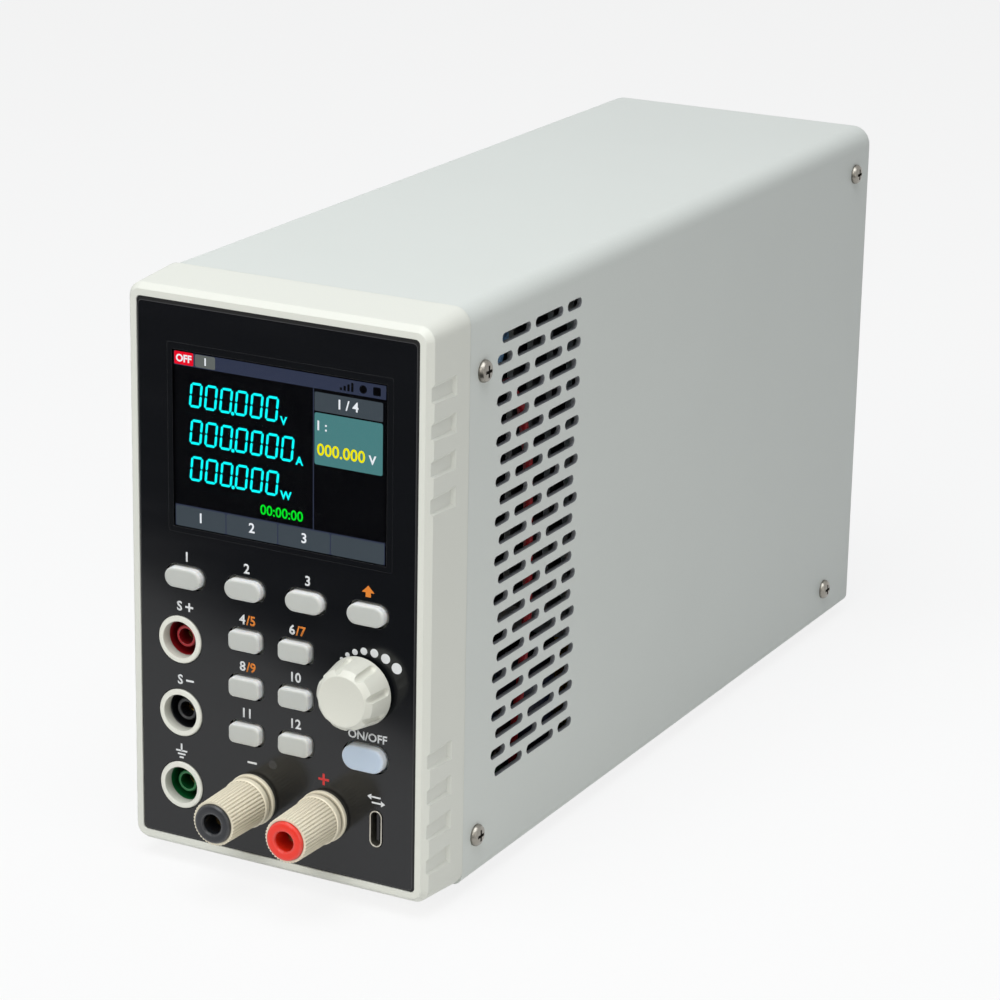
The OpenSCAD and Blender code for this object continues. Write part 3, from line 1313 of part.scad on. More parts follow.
// The rocker is drawn level and turned to its on position
module power_rocker() color(BLACK_PLASTIC) translate([0, pivot_y, switch_z]) rotate([rocker_swing / 2, 0, 0]) {
  across(switch_x - rocker_w / 2, switch_x + rocker_w / 2) intersection() {
    circle(rocker_r);
    polygon([[rocker_rise, -rocker_half], [rocker_dip, 0], [rocker_rise, rocker_half], [-4, rocker_half],
      [-6, 3], [-6, -3], [-4, -rocker_half]]);
  }
  across(switch_x - rocker_w / 2 - rocker_gap - trunnion_r / 2, switch_x + rocker_w / 2 + rocker_gap + trunnion_r / 2)
    circle(trunnion_r);
}

in_frame() front_bezel();
in_frame() front_panel();
in_frame() display_window();
in_frame() lcd_module();
in_frame() front_board();
for (k = KEYS) in_frame() key(k);
in_frame() key_mat();
in_frame() encoder_body();
in_frame() encoder_rotor();
in_frame() encoder_shaft();
in_frame() knob();
in_frame() socket_collars();
in_frame() socket_sleeve(0, SIGNAL_RED);  // sense_plus_sleeve
in_frame() socket_sleeve(1, SIGNAL_BLACK);  // sense_minus_sleeve
in_frame() socket_sleeve(2, SIGNAL_GREEN);  // earth_sleeve
in_frame() socket_contacts();
in_frame() post_bases();
in_frame() post_studs();
in_frame() post_nuts();
in_frame() post_washer(POST_X[0]);  // negative_washer
in_frame() post_cap(POST_X[0]);  // negative_cap
in_frame() post_insert(POST_X[0], SIGNAL_BLACK);  // negative_insert
in_frame() post_washer(POST_X[1]);  // positive_washer
in_frame() post_cap(POST_X[1]);  // positive_cap
in_frame() post_insert(POST_X[1], SIGNAL_RED);  // positive_insert
in_frame() bus_bars();
in_frame() usb_shell();
in_frame() usb_tongue();
in_frame() outer_cover();
in_frame() bottom_chassis();
in_frame() rear_panel();
in_frame() cover_screws();
in_frame() feet();
in_frame() heatsink();
in_frame() power_transistors();
in_frame() power_board();
in_frame() spacers();
in_frame() capacitors();
in_frame() transformer();
in_frame() red_lead();
in_frame() blue_lead();
in_frame() fan_frame();
in_frame() fan_impeller();
in_frame() fan_guard();
in_frame() machine_screws();
in_frame() mains_inlet();
in_frame() inlet_pins();
in_frame() fuse_drawer();
in_frame() switch_body();
in_frame() power_rocker();
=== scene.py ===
# %% [markdown]
# # A bench DC electronic load
# The imported solids are a fixed frame: every piece of the load is already there at its real size.
# This lesson gives each piece its finish and adds what is too thin for a solid, such as print and pixels.
# The first cell loads the frame and reads where its front and bottom lie.

# %% Load the frame
import math

import bmesh
import bpy
from mathutils import Matrix, Vector


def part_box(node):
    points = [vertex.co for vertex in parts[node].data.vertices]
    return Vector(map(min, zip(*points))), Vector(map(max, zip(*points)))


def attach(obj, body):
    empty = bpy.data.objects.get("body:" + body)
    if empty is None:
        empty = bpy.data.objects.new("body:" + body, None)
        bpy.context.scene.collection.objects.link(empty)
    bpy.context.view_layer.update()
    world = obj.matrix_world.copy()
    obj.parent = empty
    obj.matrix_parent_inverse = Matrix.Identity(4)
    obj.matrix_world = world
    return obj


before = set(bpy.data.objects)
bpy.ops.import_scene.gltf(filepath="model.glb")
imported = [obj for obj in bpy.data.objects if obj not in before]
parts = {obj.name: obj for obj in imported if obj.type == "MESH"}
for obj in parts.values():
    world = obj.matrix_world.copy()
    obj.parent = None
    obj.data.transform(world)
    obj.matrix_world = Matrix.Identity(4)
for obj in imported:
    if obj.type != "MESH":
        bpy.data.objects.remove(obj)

MM = 0.001
scene = bpy.context.scene
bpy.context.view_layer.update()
LIP_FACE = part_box("front_bezel")[0].y
CASE_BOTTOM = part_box("outer_cover")[0].z

# %% [markdown]
# ## Camera
# The camera stands where the photographer stood: in front, to the right and a little above.
# Its place and lens came from fitting the edges of the case, so the picture needs no shift.
# A camera looks along its own -Z, so its matrix is built from three plain directions.

# %% Camera
CAMERA_PLACE = Vector((0.4038, LIP_FACE - 0.6515, CASE_BOTTOM + 0.3436))
AZIMUTH = math.radians(27.91)
ELEVATION = math.radians(17.98)
ROLL = math.radians(1.08)
FOCAL_PIXELS = 3482.0
PICTURE_PIXELS = 1000.0
SENSOR_MM = 36.0


def camera_axes():
    """The camera's right, up and backward directions."""
    back = Vector((math.sin(AZIMUTH) * math.cos(ELEVATION),
                   -math.cos(AZIMUTH) * math.cos(ELEVATION),
                   math.sin(ELEVATION)))
    level = Vector((math.cos(AZIMUTH), math.sin(AZIMUTH), 0))
    upright = back.cross(level)
    right = math.cos(ROLL) * level + math.sin(ROLL) * upright
    return right, back.cross(right), back


def new_object(name, data):
    """An object that stands in the scene."""
    made = bpy.data.objects.new(name, data)
    scene.collection.objects.link(made)
    return made


lens = bpy.data.cameras.new("front_view")
lens.sensor_width = SENSOR_MM
lens.lens = FOCAL_PIXELS / PICTURE_PIXELS * SENSOR_MM
camera = new_object("front_view", lens)
camera.matrix_world = Matrix.Translation(CAMERA_PLACE) @ Matrix(camera_axes()).transposed().to_4x4()
scene.camera = camera
print("camera: lens", round(lens.lens, 2), "mm")

# %% [markdown]
# ## Node helpers
# Materials and geometry trees are both made of nodes, so a few small helpers serve for all of them:
# they make a node, feed sockets with numbers or other sockets, do arithmetic and mix colours.

# %% Node helpers
def srgb(red, green, blue):
    """A colour as a picture editor shows it, from 0 to 255, in the linear numbers that a shader needs."""
    def line(value):
        share = value / 255
        return share / 12.92 if share <= 0.04045 else ((share + 0.055) / 1.055) ** 2.4
    return (line(red), line(green), line(blue), 1.0)


def feed(tree, sockets, feeds):
    """Links sockets, given by name or number, to other sockets, or sets their values."""
    for label, value in feeds.items():
        if isinstance(value, bpy.types.NodeSocket):
            tree.links.new(value, sockets[label])
        else:
            sockets[label].default_value = value


def put(tree, kind, feeds=None, **settings):
    """Adds a node, sets its options and feeds its inputs."""
    made = tree.nodes.new(kind)
    for option, value in settings.items():
        setattr(made, option, value)
    feed(tree, made.inputs, feeds or {})
    return made


def calc(tree, operation, *values, clamp=False):
    """Arithmetic on sockets and numbers. Returns the output socket."""
    feeds = dict(enumerate(values))
    return put(tree, "ShaderNodeMath", feeds, operation=operation, use_clamp=clamp).outputs[0]


def times(tree, first, second, clamp=False):
    """A product, which is the arithmetic needed most."""
    return calc(tree, "MULTIPLY", first, second, clamp=clamp)


def blend(tree, share, first, second):
    """Mixes two colours. Returns the output socket."""
    feeds = {"Factor": share, "A": first, "B": second}
    return put(tree, "ShaderNodeMix", feeds, data_type="RGBA").outputs["Result"]


def noise(tree, place, scale, detail):
    """Soft random spots from 0 to 1."""
    feeds = {"Vector": place, "Scale": scale, "Detail": detail}
    return put(tree, "ShaderNodeTexNoise", feeds).outputs["Fac"]


def object_place(tree):
    """Where a point lies on its piece."""
    return put(tree, "ShaderNodeTexCoord").outputs["Object"]


def xyz(tree, vector):
    """The three numbers of a vector, as sockets."""
    return put(tree, "ShaderNodeSeparateXYZ", {0: vector}).outputs


def start_material(name):
    """A new material, its tree and the inputs of its Principled shader."""
    material = bpy.data.materials.new(name)
    material.use_nodes = True
    tree = material.node_tree
    return material, tree, tree.nodes["Principled BSDF"].inputs


def scaled(tree, colour, gain):
    """A colour made lighter or darker."""
    return put(tree, "ShaderNodeVectorMath", {0: colour, "Scale": gain}, operation="SCALE").outputs[0]


KIND = {int: "Int", float: "Float", tuple: "Vector"}


def new_group(name, kind, inputs, outputs):
    """An empty node group. An input is given as its usual value or as a kind of socket, an output as a kind.
    Returns the tree, its inputs and its output node."""
    tree = bpy.data.node_groups.new(name, kind + "NodeTree")
    for label, value in inputs.items():
        socket = "NodeSocket" + KIND.get(type(value), str(value))
        made = tree.interface.new_socket(label, in_out="INPUT", socket_type=socket)
        if type(value) in KIND:
            made.default_value = value
    for label, value in outputs.items():
        tree.interface.new_socket(label, in_out="OUTPUT", socket_type="NodeSocket" + value)
    return tree, tree.nodes.new("NodeGroupInput").outputs, tree.nodes.new("NodeGroupOutput")


print("helpers ready")

# %% [markdown]
# ## Light
# The photograph has a broad soft light overhead and in front, and a pale table that fills the shadows.
# Three softboxes and an even world give that. Rays from the camera, from gloss and from glass see white.
# A dark card lies on the table on the camera's side, as in a studio: only gloss sees it, so the upper
# half of the black panel stays dark while the lower half mirrors the pale table.

# %% World, softboxes and table
SKY = srgb(230, 233, 235)
SKY_STRENGTH = 0.25
TABLE_TONES = srgb(225, 226, 227), srgb(231, 231, 231)
TABLE_LIFT = 0.84
TABLE_SIZE = 12.0
TABLE_DROP = 0.0002
CARD_COLOUR = srgb(12, 13, 15)
CARD_GAP = 0.077
CARD_SIZE = 1.6
CARD_HEIGHT = 0.001
# Each softbox: its name, place, aim, width, watts, colour and spread in degrees.
SOFTBOXES = [
    ("overhead", (0.05, -0.4, 1.25), (0, -0.02, 0.1), 1.2, 13.6, srgb(250, 253, 255), 180),
    ("front", (-0.1, -1.25, 0.75), (0, -0.1, 0.08), 0.7, 5.0, srgb(255, 252, 244), 180),
    ("low_right", (0.36, -0.28, 0.06), (0.04, -0.1, 0.01), 0.3, 0.10, srgb(255, 251, 240), 110),
]


def sees_background(tree):
    """One for rays from the camera, from gloss and through glass."""
    path = put(tree, "ShaderNodeLightPath").outputs
    either = calc(tree, "MAXIMUM", path["Is Camera Ray"], path["Is Glossy Ray"])
    return calc(tree, "MAXIMUM", either, path["Is Transmission Ray"])


def softbox(name, place, aim, size, watts, colour, spread):
    """A round lamp that faces a point. A spread under 180 degrees keeps its light near the middle."""
    lamp = bpy.data.lights.new(name, "AREA")
    lamp.shape = "DISK"
    lamp.spread = math.radians(spread)
    lamp.size = size
    lamp.energy = watts
    lamp.color = colour[:3]
    box = new_object(name, lamp)
    box.location = place
    box.rotation_mode = "QUATERNION"
    box.rotation_quaternion = (Vector(aim) - Vector(place)).to_track_quat("-Z", "Y")


def flat_square(name, centre, size, turn, material):
    """A level square that belongs to the stage."""
    mesh = bpy.data.meshes.new(name)
    half = size / 2
    corners = [Vector((x, y, 0)) for x, y in ((-half, -half), (half, -half), (half, half), (-half, half))]
    spin = Matrix.Rotation(turn, 3, "Z")
    mesh.from_pydata([spin @ c + Vector(centre) for c in corners], [], [(0, 1, 2, 3)])
    mesh.materials.append(material)
    square = new_object(name, mesh)
    return square


def table_material():
    material, tree, _ = start_material("pale_table")
    tree.nodes.clear()
    fibre = put(tree, "ShaderNodeTexNoise", {"Scale": 90.0, "Detail": 3.0})
    tone = blend(tree, fibre.outputs["Fac"], *TABLE_TONES)
    matt = put(tree, "ShaderNodeBsdfDiffuse", {"Color": tone})
    glow = put(tree, "ShaderNodeEmission", {"Strength": 1.0})
    share = times(tree, sees_background(tree), TABLE_LIFT)
    mixed = put(tree, "ShaderNodeMixShader", {0: share, 1: matt.outputs[0], 2: glow.outputs[0]})
    put(tree, "ShaderNodeOutputMaterial", {"Surface": mixed.outputs[0]})
    return material


def card_material():
    material, tree, shader = start_material("black_card")
    feed(tree, shader, {"Base Color": CARD_COLOUR, "Roughness": 0.9})
    return material


world = bpy.data.worlds.new("studio")
world.use_nodes = True
scene.world = world
sky_tree = world.node_tree
sky_tree.nodes.clear()
soft = put(sky_tree, "ShaderNodeBackground", {"Color": SKY, "Strength": SKY_STRENGTH})
white = put(sky_tree, "ShaderNodeBackground", {"Strength": 1.0})
both = put(sky_tree, "ShaderNodeMixShader",
           {0: sees_background(sky_tree), 1: soft.outputs[0], 2: white.outputs[0]})
put(sky_tree, "ShaderNodeOutputWorld", {"Surface": both.outputs[0]})

for box in SOFTBOXES:
    softbox(*box)
flat_square("table", (0, 0, -TABLE_DROP), TABLE_SIZE, 0, table_material())
toward_camera = Vector((math.sin(AZIMUTH), -math.cos(AZIMUTH), 0))
card_centre = Vector((0, LIP_FACE, CARD_HEIGHT)) + toward_camera * (CARD_GAP + CARD_SIZE / 2)
card = flat_square("black_card", card_centre, CARD_SIZE, AZIMUTH, card_material())
card.visible_camera = False
card.visible_diffuse = False
card.visible_shadow = False
scene.view_settings.view_transform = "Standard"

# %% [markdown]
# ## Shared surface effects
# Real surfaces are never one flat colour. Five effects serve many finishes here, so each is a node group:
# the grain of paint and moulded plastic, a soft edge whose mask lightens it as wear and as painted
# highlight, dust on dark gloss, the fine lines that rolling or drawing leaves in metal, and the painted
# shade of deep cups.
# A group only puts out colours and numbers.

# %% Shader groups
def grain_group():
    """Fine grain for bump, with a slow drift of tone across the piece."""
    tree, given, end = new_group(
        "surface_grain", "Shader", {"Color": "Color", "Grain Size": 0.0004, "Mottle": 0.03},
        {"Color": "Color", "Height": "Float"})
    place = object_place(tree)
    fine = noise(tree, place, calc(tree, "DIVIDE", 1.0, given["Grain Size"]), 2.0)
    broad = noise(tree, place, 26.0, 4.0)
    drift = times(tree, calc(tree, "SUBTRACT", broad, 0.5), given["Mottle"])
    speck = times(tree, calc(tree, "SUBTRACT", fine, 0.5), times(tree, given["Mottle"], 1.6))
    gain = calc(tree, "ADD", calc(tree, "ADD", drift, speck), 1.0)
    feed(tree, end.inputs, {"Color": scaled(tree, given["Color"], gain), "Height": fine})
    return tree


def edge_group():
    """A rounded normal and a mask along sharp edges."""
    tree, given, end = new_group(
        "soft_edge", "Shader", {"Radius": 0.0003}, {"Normal": "Vector", "Edge": "Float"})
    bevel = put(tree, "ShaderNodeBevel", {"Radius": given["Radius"]}, samples=4)
    flat = put(tree, "ShaderNodeNewGeometry").outputs["Normal"]
    same = put(tree, "ShaderNodeVectorMath", {0: bevel.outputs[0], 1: flat}, operation="DOT_PRODUCT")
    edge = times(tree, calc(tree, "SUBTRACT", 1.0, same.outputs["Value"]), 4.0, clamp=True)
    feed(tree, end.inputs, {"Normal": bevel.outputs[0], "Edge": edge})
    return tree


def dust_group():
    """Sparse pale specks and faint wipe marks, for dark gloss."""
    tree, given, end = new_group(
        "dust", "Shader", {"Speck Spacing": 0.006, "Speck Size": 0.02},
        {"Specks": "Float", "Smear": "Float"})
    place = object_place(tree)
    often = calc(tree, "DIVIDE", 1.0, given["Speck Spacing"])
    cells = put(tree, "ShaderNodeTexVoronoi", {"Vector": place, "Scale": often})
    near = calc(tree, "LESS_THAN", cells.outputs["Distance"], given["Speck Size"])
    chance = put(tree, "ShaderNodeSeparateColor", {0: cells.outputs["Color"]}).outputs[0]
    lone = calc(tree, "GREATER_THAN", chance, 0.6)
    wipe = {"Vector": place, "Scale": (40.0, 40.0, 160.0), "Rotation": (0.0, 0.6, 0.0)}
    smear = noise(tree, put(tree, "ShaderNodeMapping", wipe).outputs[0], 1.0, 5.0)
    feed(tree, end.inputs, {"Specks": times(tree, near, lone), "Smear": smear})
    return tree


def drawn_group():
    """Fine parallel lines, as rolling or drawing leaves in metal."""
    tree, given, end = new_group(
        "drawn_lines", "Shader", {"Direction": (900.0, 30.0, 900.0)}, {"Lines": "Float"})
    stretch = {0: object_place(tree), 1: given["Direction"]}
    stretched = put(tree, "ShaderNodeVectorMath", stretch, operation="MULTIPLY").outputs[0]
    feed(tree, end.inputs, {"Lines": noise(tree, stretched, 1.0, 3.0)})
    return tree


def crevice_group():
    """Darkens a colour where little light can reach, as in a deep cup."""
    tree, given, end = new_group(
        "crevice_shade", "Shader", {"Color": "Color", "Reach": 0.004, "Depth": 0.7}, {"Color": "Color"})
    open_sky = put(tree, "ShaderNodeAmbientOcclusion", {"Distance": given["Reach"]}, samples=6)
    shut = times(tree, calc(tree, "SUBTRACT", 1.0, open_sky.outputs["AO"]), given["Depth"])
    lit = calc(tree, "SUBTRACT", 1.0, shut)
    feed(tree, end.inputs, {"Color": scaled(tree, given["Color"], lit)})
    return tree


GROUPS = grain_group(), edge_group(), dust_group(), drawn_group(), crevice_group()
GRAIN, EDGE, DUST, DRAWN, CREVICE = GROUPS
print("shader groups:", [group.name for group in GROUPS])

# %% [markdown]
# ## Finishes
# Every finish is one Principled shader. Moulded plastic, paint and rubber differ in colour, gloss and
# grain, so one function makes them all from a table. Metals share another, and the panel, the window,
# the display and the boards have their own.

# %% Plastics, paint and rubber
def use(tree, group, feeds):
    """Places a node group and returns its outputs."""
    return put(tree, "ShaderNodeGroup", feeds, node_tree=group).outputs


def spread(tree, value, low, high):
    """Maps a mask from 0 to 1 onto a range."""
    return calc(tree, "ADD", times(tree, value, high - low), low)


def bumped(tree, height, normal, depth):
    feeds = {"Height": height, "Normal": normal, "Strength": 1.0, "Distance": depth}
    return put(tree, "ShaderNodeBump", feeds).outputs[0]


def moulded(name, colour, gloss, grain=0.35, depth=0.02, mottle=0.03, edge=0.3, edge_wear_and_highlight=0.06, scatter=0.0,
            cup=0.0, shade=0.7, rim=0.0):
    """Moulded or painted skin. Grain, depth, edge and cup are in millimetres. The edges are lightened
    towards white, partly as wear and partly as a painted highlight. Cup is how far the painted shade of a
    hollow reaches, and shade how dark it gets. Rim instead paints light onto what turns away from the front,
    as light through thin silicone would."""
    material, tree, shader = start_material(name)
    skin = use(tree, GRAIN, {"Color": colour, "Grain Size": grain * MM, "Mottle": mottle})
    soft = use(tree, EDGE, {"Radius": edge * MM})
    # The edges are lightened towards white: partly wear, partly a painted highlight.
    pale_marks_and_highlight = times(tree, soft["Edge"], edge_wear_and_highlight)
    # Rim light is painted: the sides that turn away from the front are lightened instead of the edges.
    if rim:
        normal = xyz(tree, put(tree, "ShaderNodeNewGeometry").outputs["Normal"])
        painted_rim_mask = calc(tree, "SUBTRACT", 1.0, calc(tree, "ABSOLUTE", normal["Y"]))
        pale_marks_and_highlight = times(tree, painted_rim_mask, rim, clamp=True)
    tone = blend(tree, pale_marks_and_highlight, skin["Color"], (1, 1, 1, 1))
    # Painted shade darkens the hollows.
    if cup:
        tone = use(tree, CREVICE, {"Color": tone, "Reach": cup * MM, "Depth": shade})["Color"]
    feed(tree, shader, {
        "Base Color": tone, "Roughness": spread(tree, skin["Height"], gloss - 0.06, gloss + 0.06),
        "Normal": bumped(tree, skin["Height"], soft["Normal"], depth * MM)})
    if scatter:
        feed(tree, shader, {"Subsurface Weight": scatter, "Subsurface Scale": 1.0,
                            "Subsurface Radius": (0.9 * MM, 0.8 * MM, 0.7 * MM)})
    return material


# Each skin: its colour, its roughness and what differs from the usual skin. Cup paints shade into hollows
# and grooves, rim paints light onto the sides of the keys, and the pale edges of the inserts are a painted
# highlight.
MOULDED = {
    "bezel_ivory": ((222, 223, 215), 0.50, dict(grain=0.30, depth=0.010, mottle=0.025)),
    "knob_ivory": ((219, 219, 209), 0.42, dict(grain=0.25, depth=0.006, edge_wear_and_highlight=0.15)),
    "collar_ivory": ((230, 230, 220), 0.40, dict(grain=0.25, depth=0.005, edge=0.25, cup=4.0)),
    "case_paint": ((213, 217, 213), 0.46, dict(grain=0.42, depth=0.022, mottle=0.035, edge=0.4)),
    "post_cream": ((242, 233, 210), 0.40, dict(grain=0.20, depth=0.004, edge=0.06, edge_wear_and_highlight=0.15, cup=0.6)),
    # Painted light lightens the sides of the keys that turn away from the front.
    "key_grey": ((194, 196, 192), 0.55, dict(grain=0.28, depth=0.008, edge=0.6, scatter=0.35, rim=0.8)),
    "key_blue": ((197, 212, 230), 0.42, dict(grain=0.28, depth=0.006, edge=0.6, scatter=0.35, rim=0.6)),
    "mat_grey": ((190, 192, 188), 0.60, dict(grain=0.4, depth=0.01)),
    # The inserts' lightened edges are a painted highlight on their glossy rims, and cup paints shade into
    # their holes.
    "signal_red": ((240, 46, 24), 0.15,
                   dict(grain=0.5, depth=0.002, mottle=0.02, edge=1.1, edge_wear_and_highlight=0.12, cup=4.0)),
    "signal_black": ((34, 36, 41), 0.16, dict(grain=0.5, depth=0.002, edge=1.1, edge_wear_and_highlight=0.12, cup=4.0)),
    # Cup and shade paint deep shade into the socket cups.
    "sleeve_red": ((196, 34, 44), 0.30,
                   dict(grain=0.4, depth=0.003, edge=0.25, edge_wear_and_highlight=0.15, cup=5.0, shade=0.92)),
    "sleeve_green": ((30, 134, 72), 0.30,
                     dict(grain=0.4, depth=0.003, edge=0.25, edge_wear_and_highlight=0.12, cup=5.0, shade=0.92)),
    "black_plastic": ((33, 34, 36), 0.50, dict(depth=0.012, mottle=0.1, edge_wear_and_highlight=0.03)),
    "foot_rubber": ((28, 28, 29), 0.80, dict(grain=0.6, mottle=0.15, edge_wear_and_highlight=0.02)),
    "capacitor_sleeve": ((30, 36, 58), 0.30, dict(grain=0.5, depth=0.004)),
    "winding_tape": ((196, 168, 74), 0.45, dict(grain=0.6, depth=0.01, mottle=0.08)),
    "lead_red": ((186, 28, 40), 0.40, dict(grain=0.5, depth=0.006)),
    "lead_blue": ((140, 190, 240), 0.40, dict(grain=0.5, depth=0.006)),
    # A painted shadow for the gap round the panel sheet.
    "painted_gap_shadow": ((5, 6, 8), 0.70, dict(mottle=0.2)),
    "smoked_plug": ((48, 48, 50), 0.25, dict(mottle=0.3)),
}
FINISHES = {}
for name, (colour, gloss, skin) in MOULDED.items():
    FINISHES[name] = moulded(name, srgb(*colour), gloss, **skin)
print("moulded and painted finishes:", len(FINISHES))

# %% [markdown]
# ## Metals
# Plated steel, brass, copper and the extruded heatsink are all metallic, with lines along the way they
# were rolled or drawn. The lines change the gloss a little and lift the surface by microns.

# %% Metals
METAL_EDGE = 0.15 * MM
LINE_DEPTH = 0.004 * MM


def metal(name, colour, gloss, lines):
    material, tree, shader = start_material(name)
    drawn = use(tree, DRAWN, {"Direction": lines})
    soft = use(tree, EDGE, {"Radius": METAL_EDGE})
    skin = use(tree, GRAIN, {"Color": colour, "Grain Size": 0.8 * MM, "Mottle": 0.08})
    # Painted shade darkens the colour in recesses, such as the crosses of the screws.
    dark = use(tree, CREVICE, {"Color": skin["Color"], "Reach": 1.0 * MM})
    feed(tree, shader, {
        "Metallic": 1.0, "Base Color": dark["Color"],
        "Roughness": spread(tree, drawn["Lines"], gloss - 0.08, gloss + 0.12),
        "Normal": bumped(tree, drawn["Lines"], soft["Normal"], LINE_DEPTH)})
    return material


# Each metal: its colour, its roughness and how many lines lie in a metre along x, y and z.
ROLLED = (900.0, 30.0, 900.0)
METALS = {
    "zinc_sheet": ((196, 199, 200), 0.38, ROLLED),
    "plated_steel": ((205, 201, 190), 0.36, (400.0, 400.0, 400.0)),
    "screw_zinc": ((150, 146, 138), 0.30, (400.0, 400.0, 400.0)),
    "bright_wire": ((214, 216, 218), 0.22, (300.0, 300.0, 300.0)),
    "brass": ((224, 190, 108), 0.26, (500.0, 60.0, 500.0)),
    "copper": ((214, 140, 100), 0.32, ROLLED),
    "extruded_aluminium": ((198, 200, 203), 0.40, (800.0, 20.0, 800.0)),
}
for name, (colour, gloss, lines) in METALS.items():
    FINISHES[name] = metal(name, srgb(*colour), gloss, lines)
print("metals:", list(METALS))

# %% [markdown]
# ## Panel, window, display and boards
# The panel is a black printed sheet with a hard gloss, so it mirrors the table and the binding posts.
# The window is clear acrylic, and the display glass behind it is black where no pixel is lit.
# The cut edges of both sheets are blackened, so no light leaks in round them. A second slot does that.
# The boards are green lacquer over copper tracks, made from two crossing sets of blurred lines.

# %% Panel, window, display glass and boards
def panel_print():
    material, tree, shader = start_material("panel_print")
    skin = use(tree, GRAIN, {"Color": srgb(12, 14, 18), "Grain Size": 0.5 * MM, "Mottle": 0.25})
    dust = use(tree, DUST, {"Speck Spacing": 5.0 * MM, "Speck Size": 0.014})
    soft = use(tree, EDGE, {"Radius": 0.2 * MM})
    # Pale dust specks, and a painted highlight along the cut edges of the holes and of the sheet.
    pale_marks_and_highlight = calc(tree, "MAXIMUM", times(tree, dust["Specks"], 0.35), times(tree, soft["Edge"], 0.25))
    feed(tree, shader, {
        "Base Color": blend(tree, pale_marks_and_highlight, skin["Color"], srgb(150, 152, 155)),
        "Roughness": spread(tree, dust["Smear"], 0.10, 0.22),
        "Normal": bumped(tree, skin["Height"], soft["Normal"], 0.0015 * MM)})
    return material


def clear_window():
    material, tree, shader = start_material("clear_window")
    dust = use(tree, DUST, {"Speck Spacing": 7.0 * MM, "Speck Size": 0.012})
    feed(tree, shader, {
        "Base Color": srgb(244, 247, 250), "Transmission Weight": 1.0, "IOR": 1.49,
        "Specular Tint": (0.12, 0.12, 0.13, 1), "Roughness": spread(tree, dust["Smear"], 0.0, 0.03)})
    return material


def blackened():
    """Dead black for cut edges."""
    material, tree, shader = start_material("blackened_edge")
    skin = use(tree, GRAIN, {"Color": srgb(3, 3, 4), "Grain Size": 0.3 * MM, "Mottle": 0.2})
    feed(tree, shader, {"Base Color": skin["Color"], "Roughness": 0.9, "Specular IOR Level": 0.0})
    return material


def display_glass():
    material, tree, shader = start_material("display_glass")
    skin = use(tree, GRAIN, {"Color": srgb(9, 9, 12), "Grain Size": 0.18 * MM, "Mottle": 0.2})
    feed(tree, shader, {
        "Base Color": skin["Color"], "Specular IOR Level": 0.05,
        "Roughness": spread(tree, skin["Height"], 0.12, 0.2)})
    return material


def punched(material, inset, low, high):
    """Greys the cut edges of the slots in the side walls: faces near a side that don't look outward."""
    tree = material.node_tree
    shader = tree.nodes["Principled BSDF"].inputs
    painted = shader["Base Color"].links[0].from_socket
    normal = xyz(tree, put(tree, "ShaderNodeNewGeometry").outputs["True Normal"])
    place = xyz(tree, object_place(tree))
    across = calc(tree, "LESS_THAN", calc(tree, "ABSOLUTE", normal["X"]), 0.5)
    beside = calc(tree, "GREATER_THAN", calc(tree, "ABSOLUTE", place["X"]), inset)
    away = calc(tree, "ABSOLUTE", calc(tree, "SUBTRACT", place["Z"], (low + high) / 2))
    within = calc(tree, "LESS_THAN", away, (high - low) / 2)
    cut = times(tree, times(tree, across, beside), within)
    feed(tree, shader, {"Base Color": blend(tree, cut, painted, BARE_SHEET)})


def board_green():
    material, tree, shader = start_material("board_green")
    greens = {"Color1": srgb(22, 74, 44), "Color2": srgb(26, 88, 50), "Mortar": srgb(48, 120, 72)}
    feeds = {"Vector": object_place(tree), "Scale": 160.0, "Mortar Size": 0.03, **greens}
    cells = put(tree, "ShaderNodeTexBrick", feeds).outputs
    skin = use(tree, GRAIN, {"Color": cells["Color"], "Grain Size": 0.7 * MM, "Mottle": 0.15})
    soft = use(tree, EDGE, {"Radius": 0.1 * MM})
    feed(tree, shader, {
        "Base Color": skin["Color"], "Roughness": spread(tree, cells["Fac"], 0.32, 0.42),
        "Normal": bumped(tree, cells["Fac"], soft["Normal"], 0.03 * MM)})
    return material


SHEET = 1.2 * MM
BEND = 8.0 * MM
SLACK = 0.1 * MM
BARE_SHEET = srgb(132, 134, 138)
cover_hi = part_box("outer_cover")[1]
punched(FINISHES["case_paint"], cover_hi.x - SHEET - SLACK, CASE_BOTTOM + BEND, cover_hi.z - BEND)
FINISHES.update(panel_print=panel_print(), clear_window=clear_window(), blackened_edge=blackened(),
                display_glass=display_glass(), board_green=board_green())
print("finishes in all:", len(FINISHES))

# %% [markdown]
# ## Who wears what
# Each finish lists the parts that wear it, and the keys that no line names are grey.
# A sheet has two slots, so its faces are told apart by where they look: front and back, or sideways.

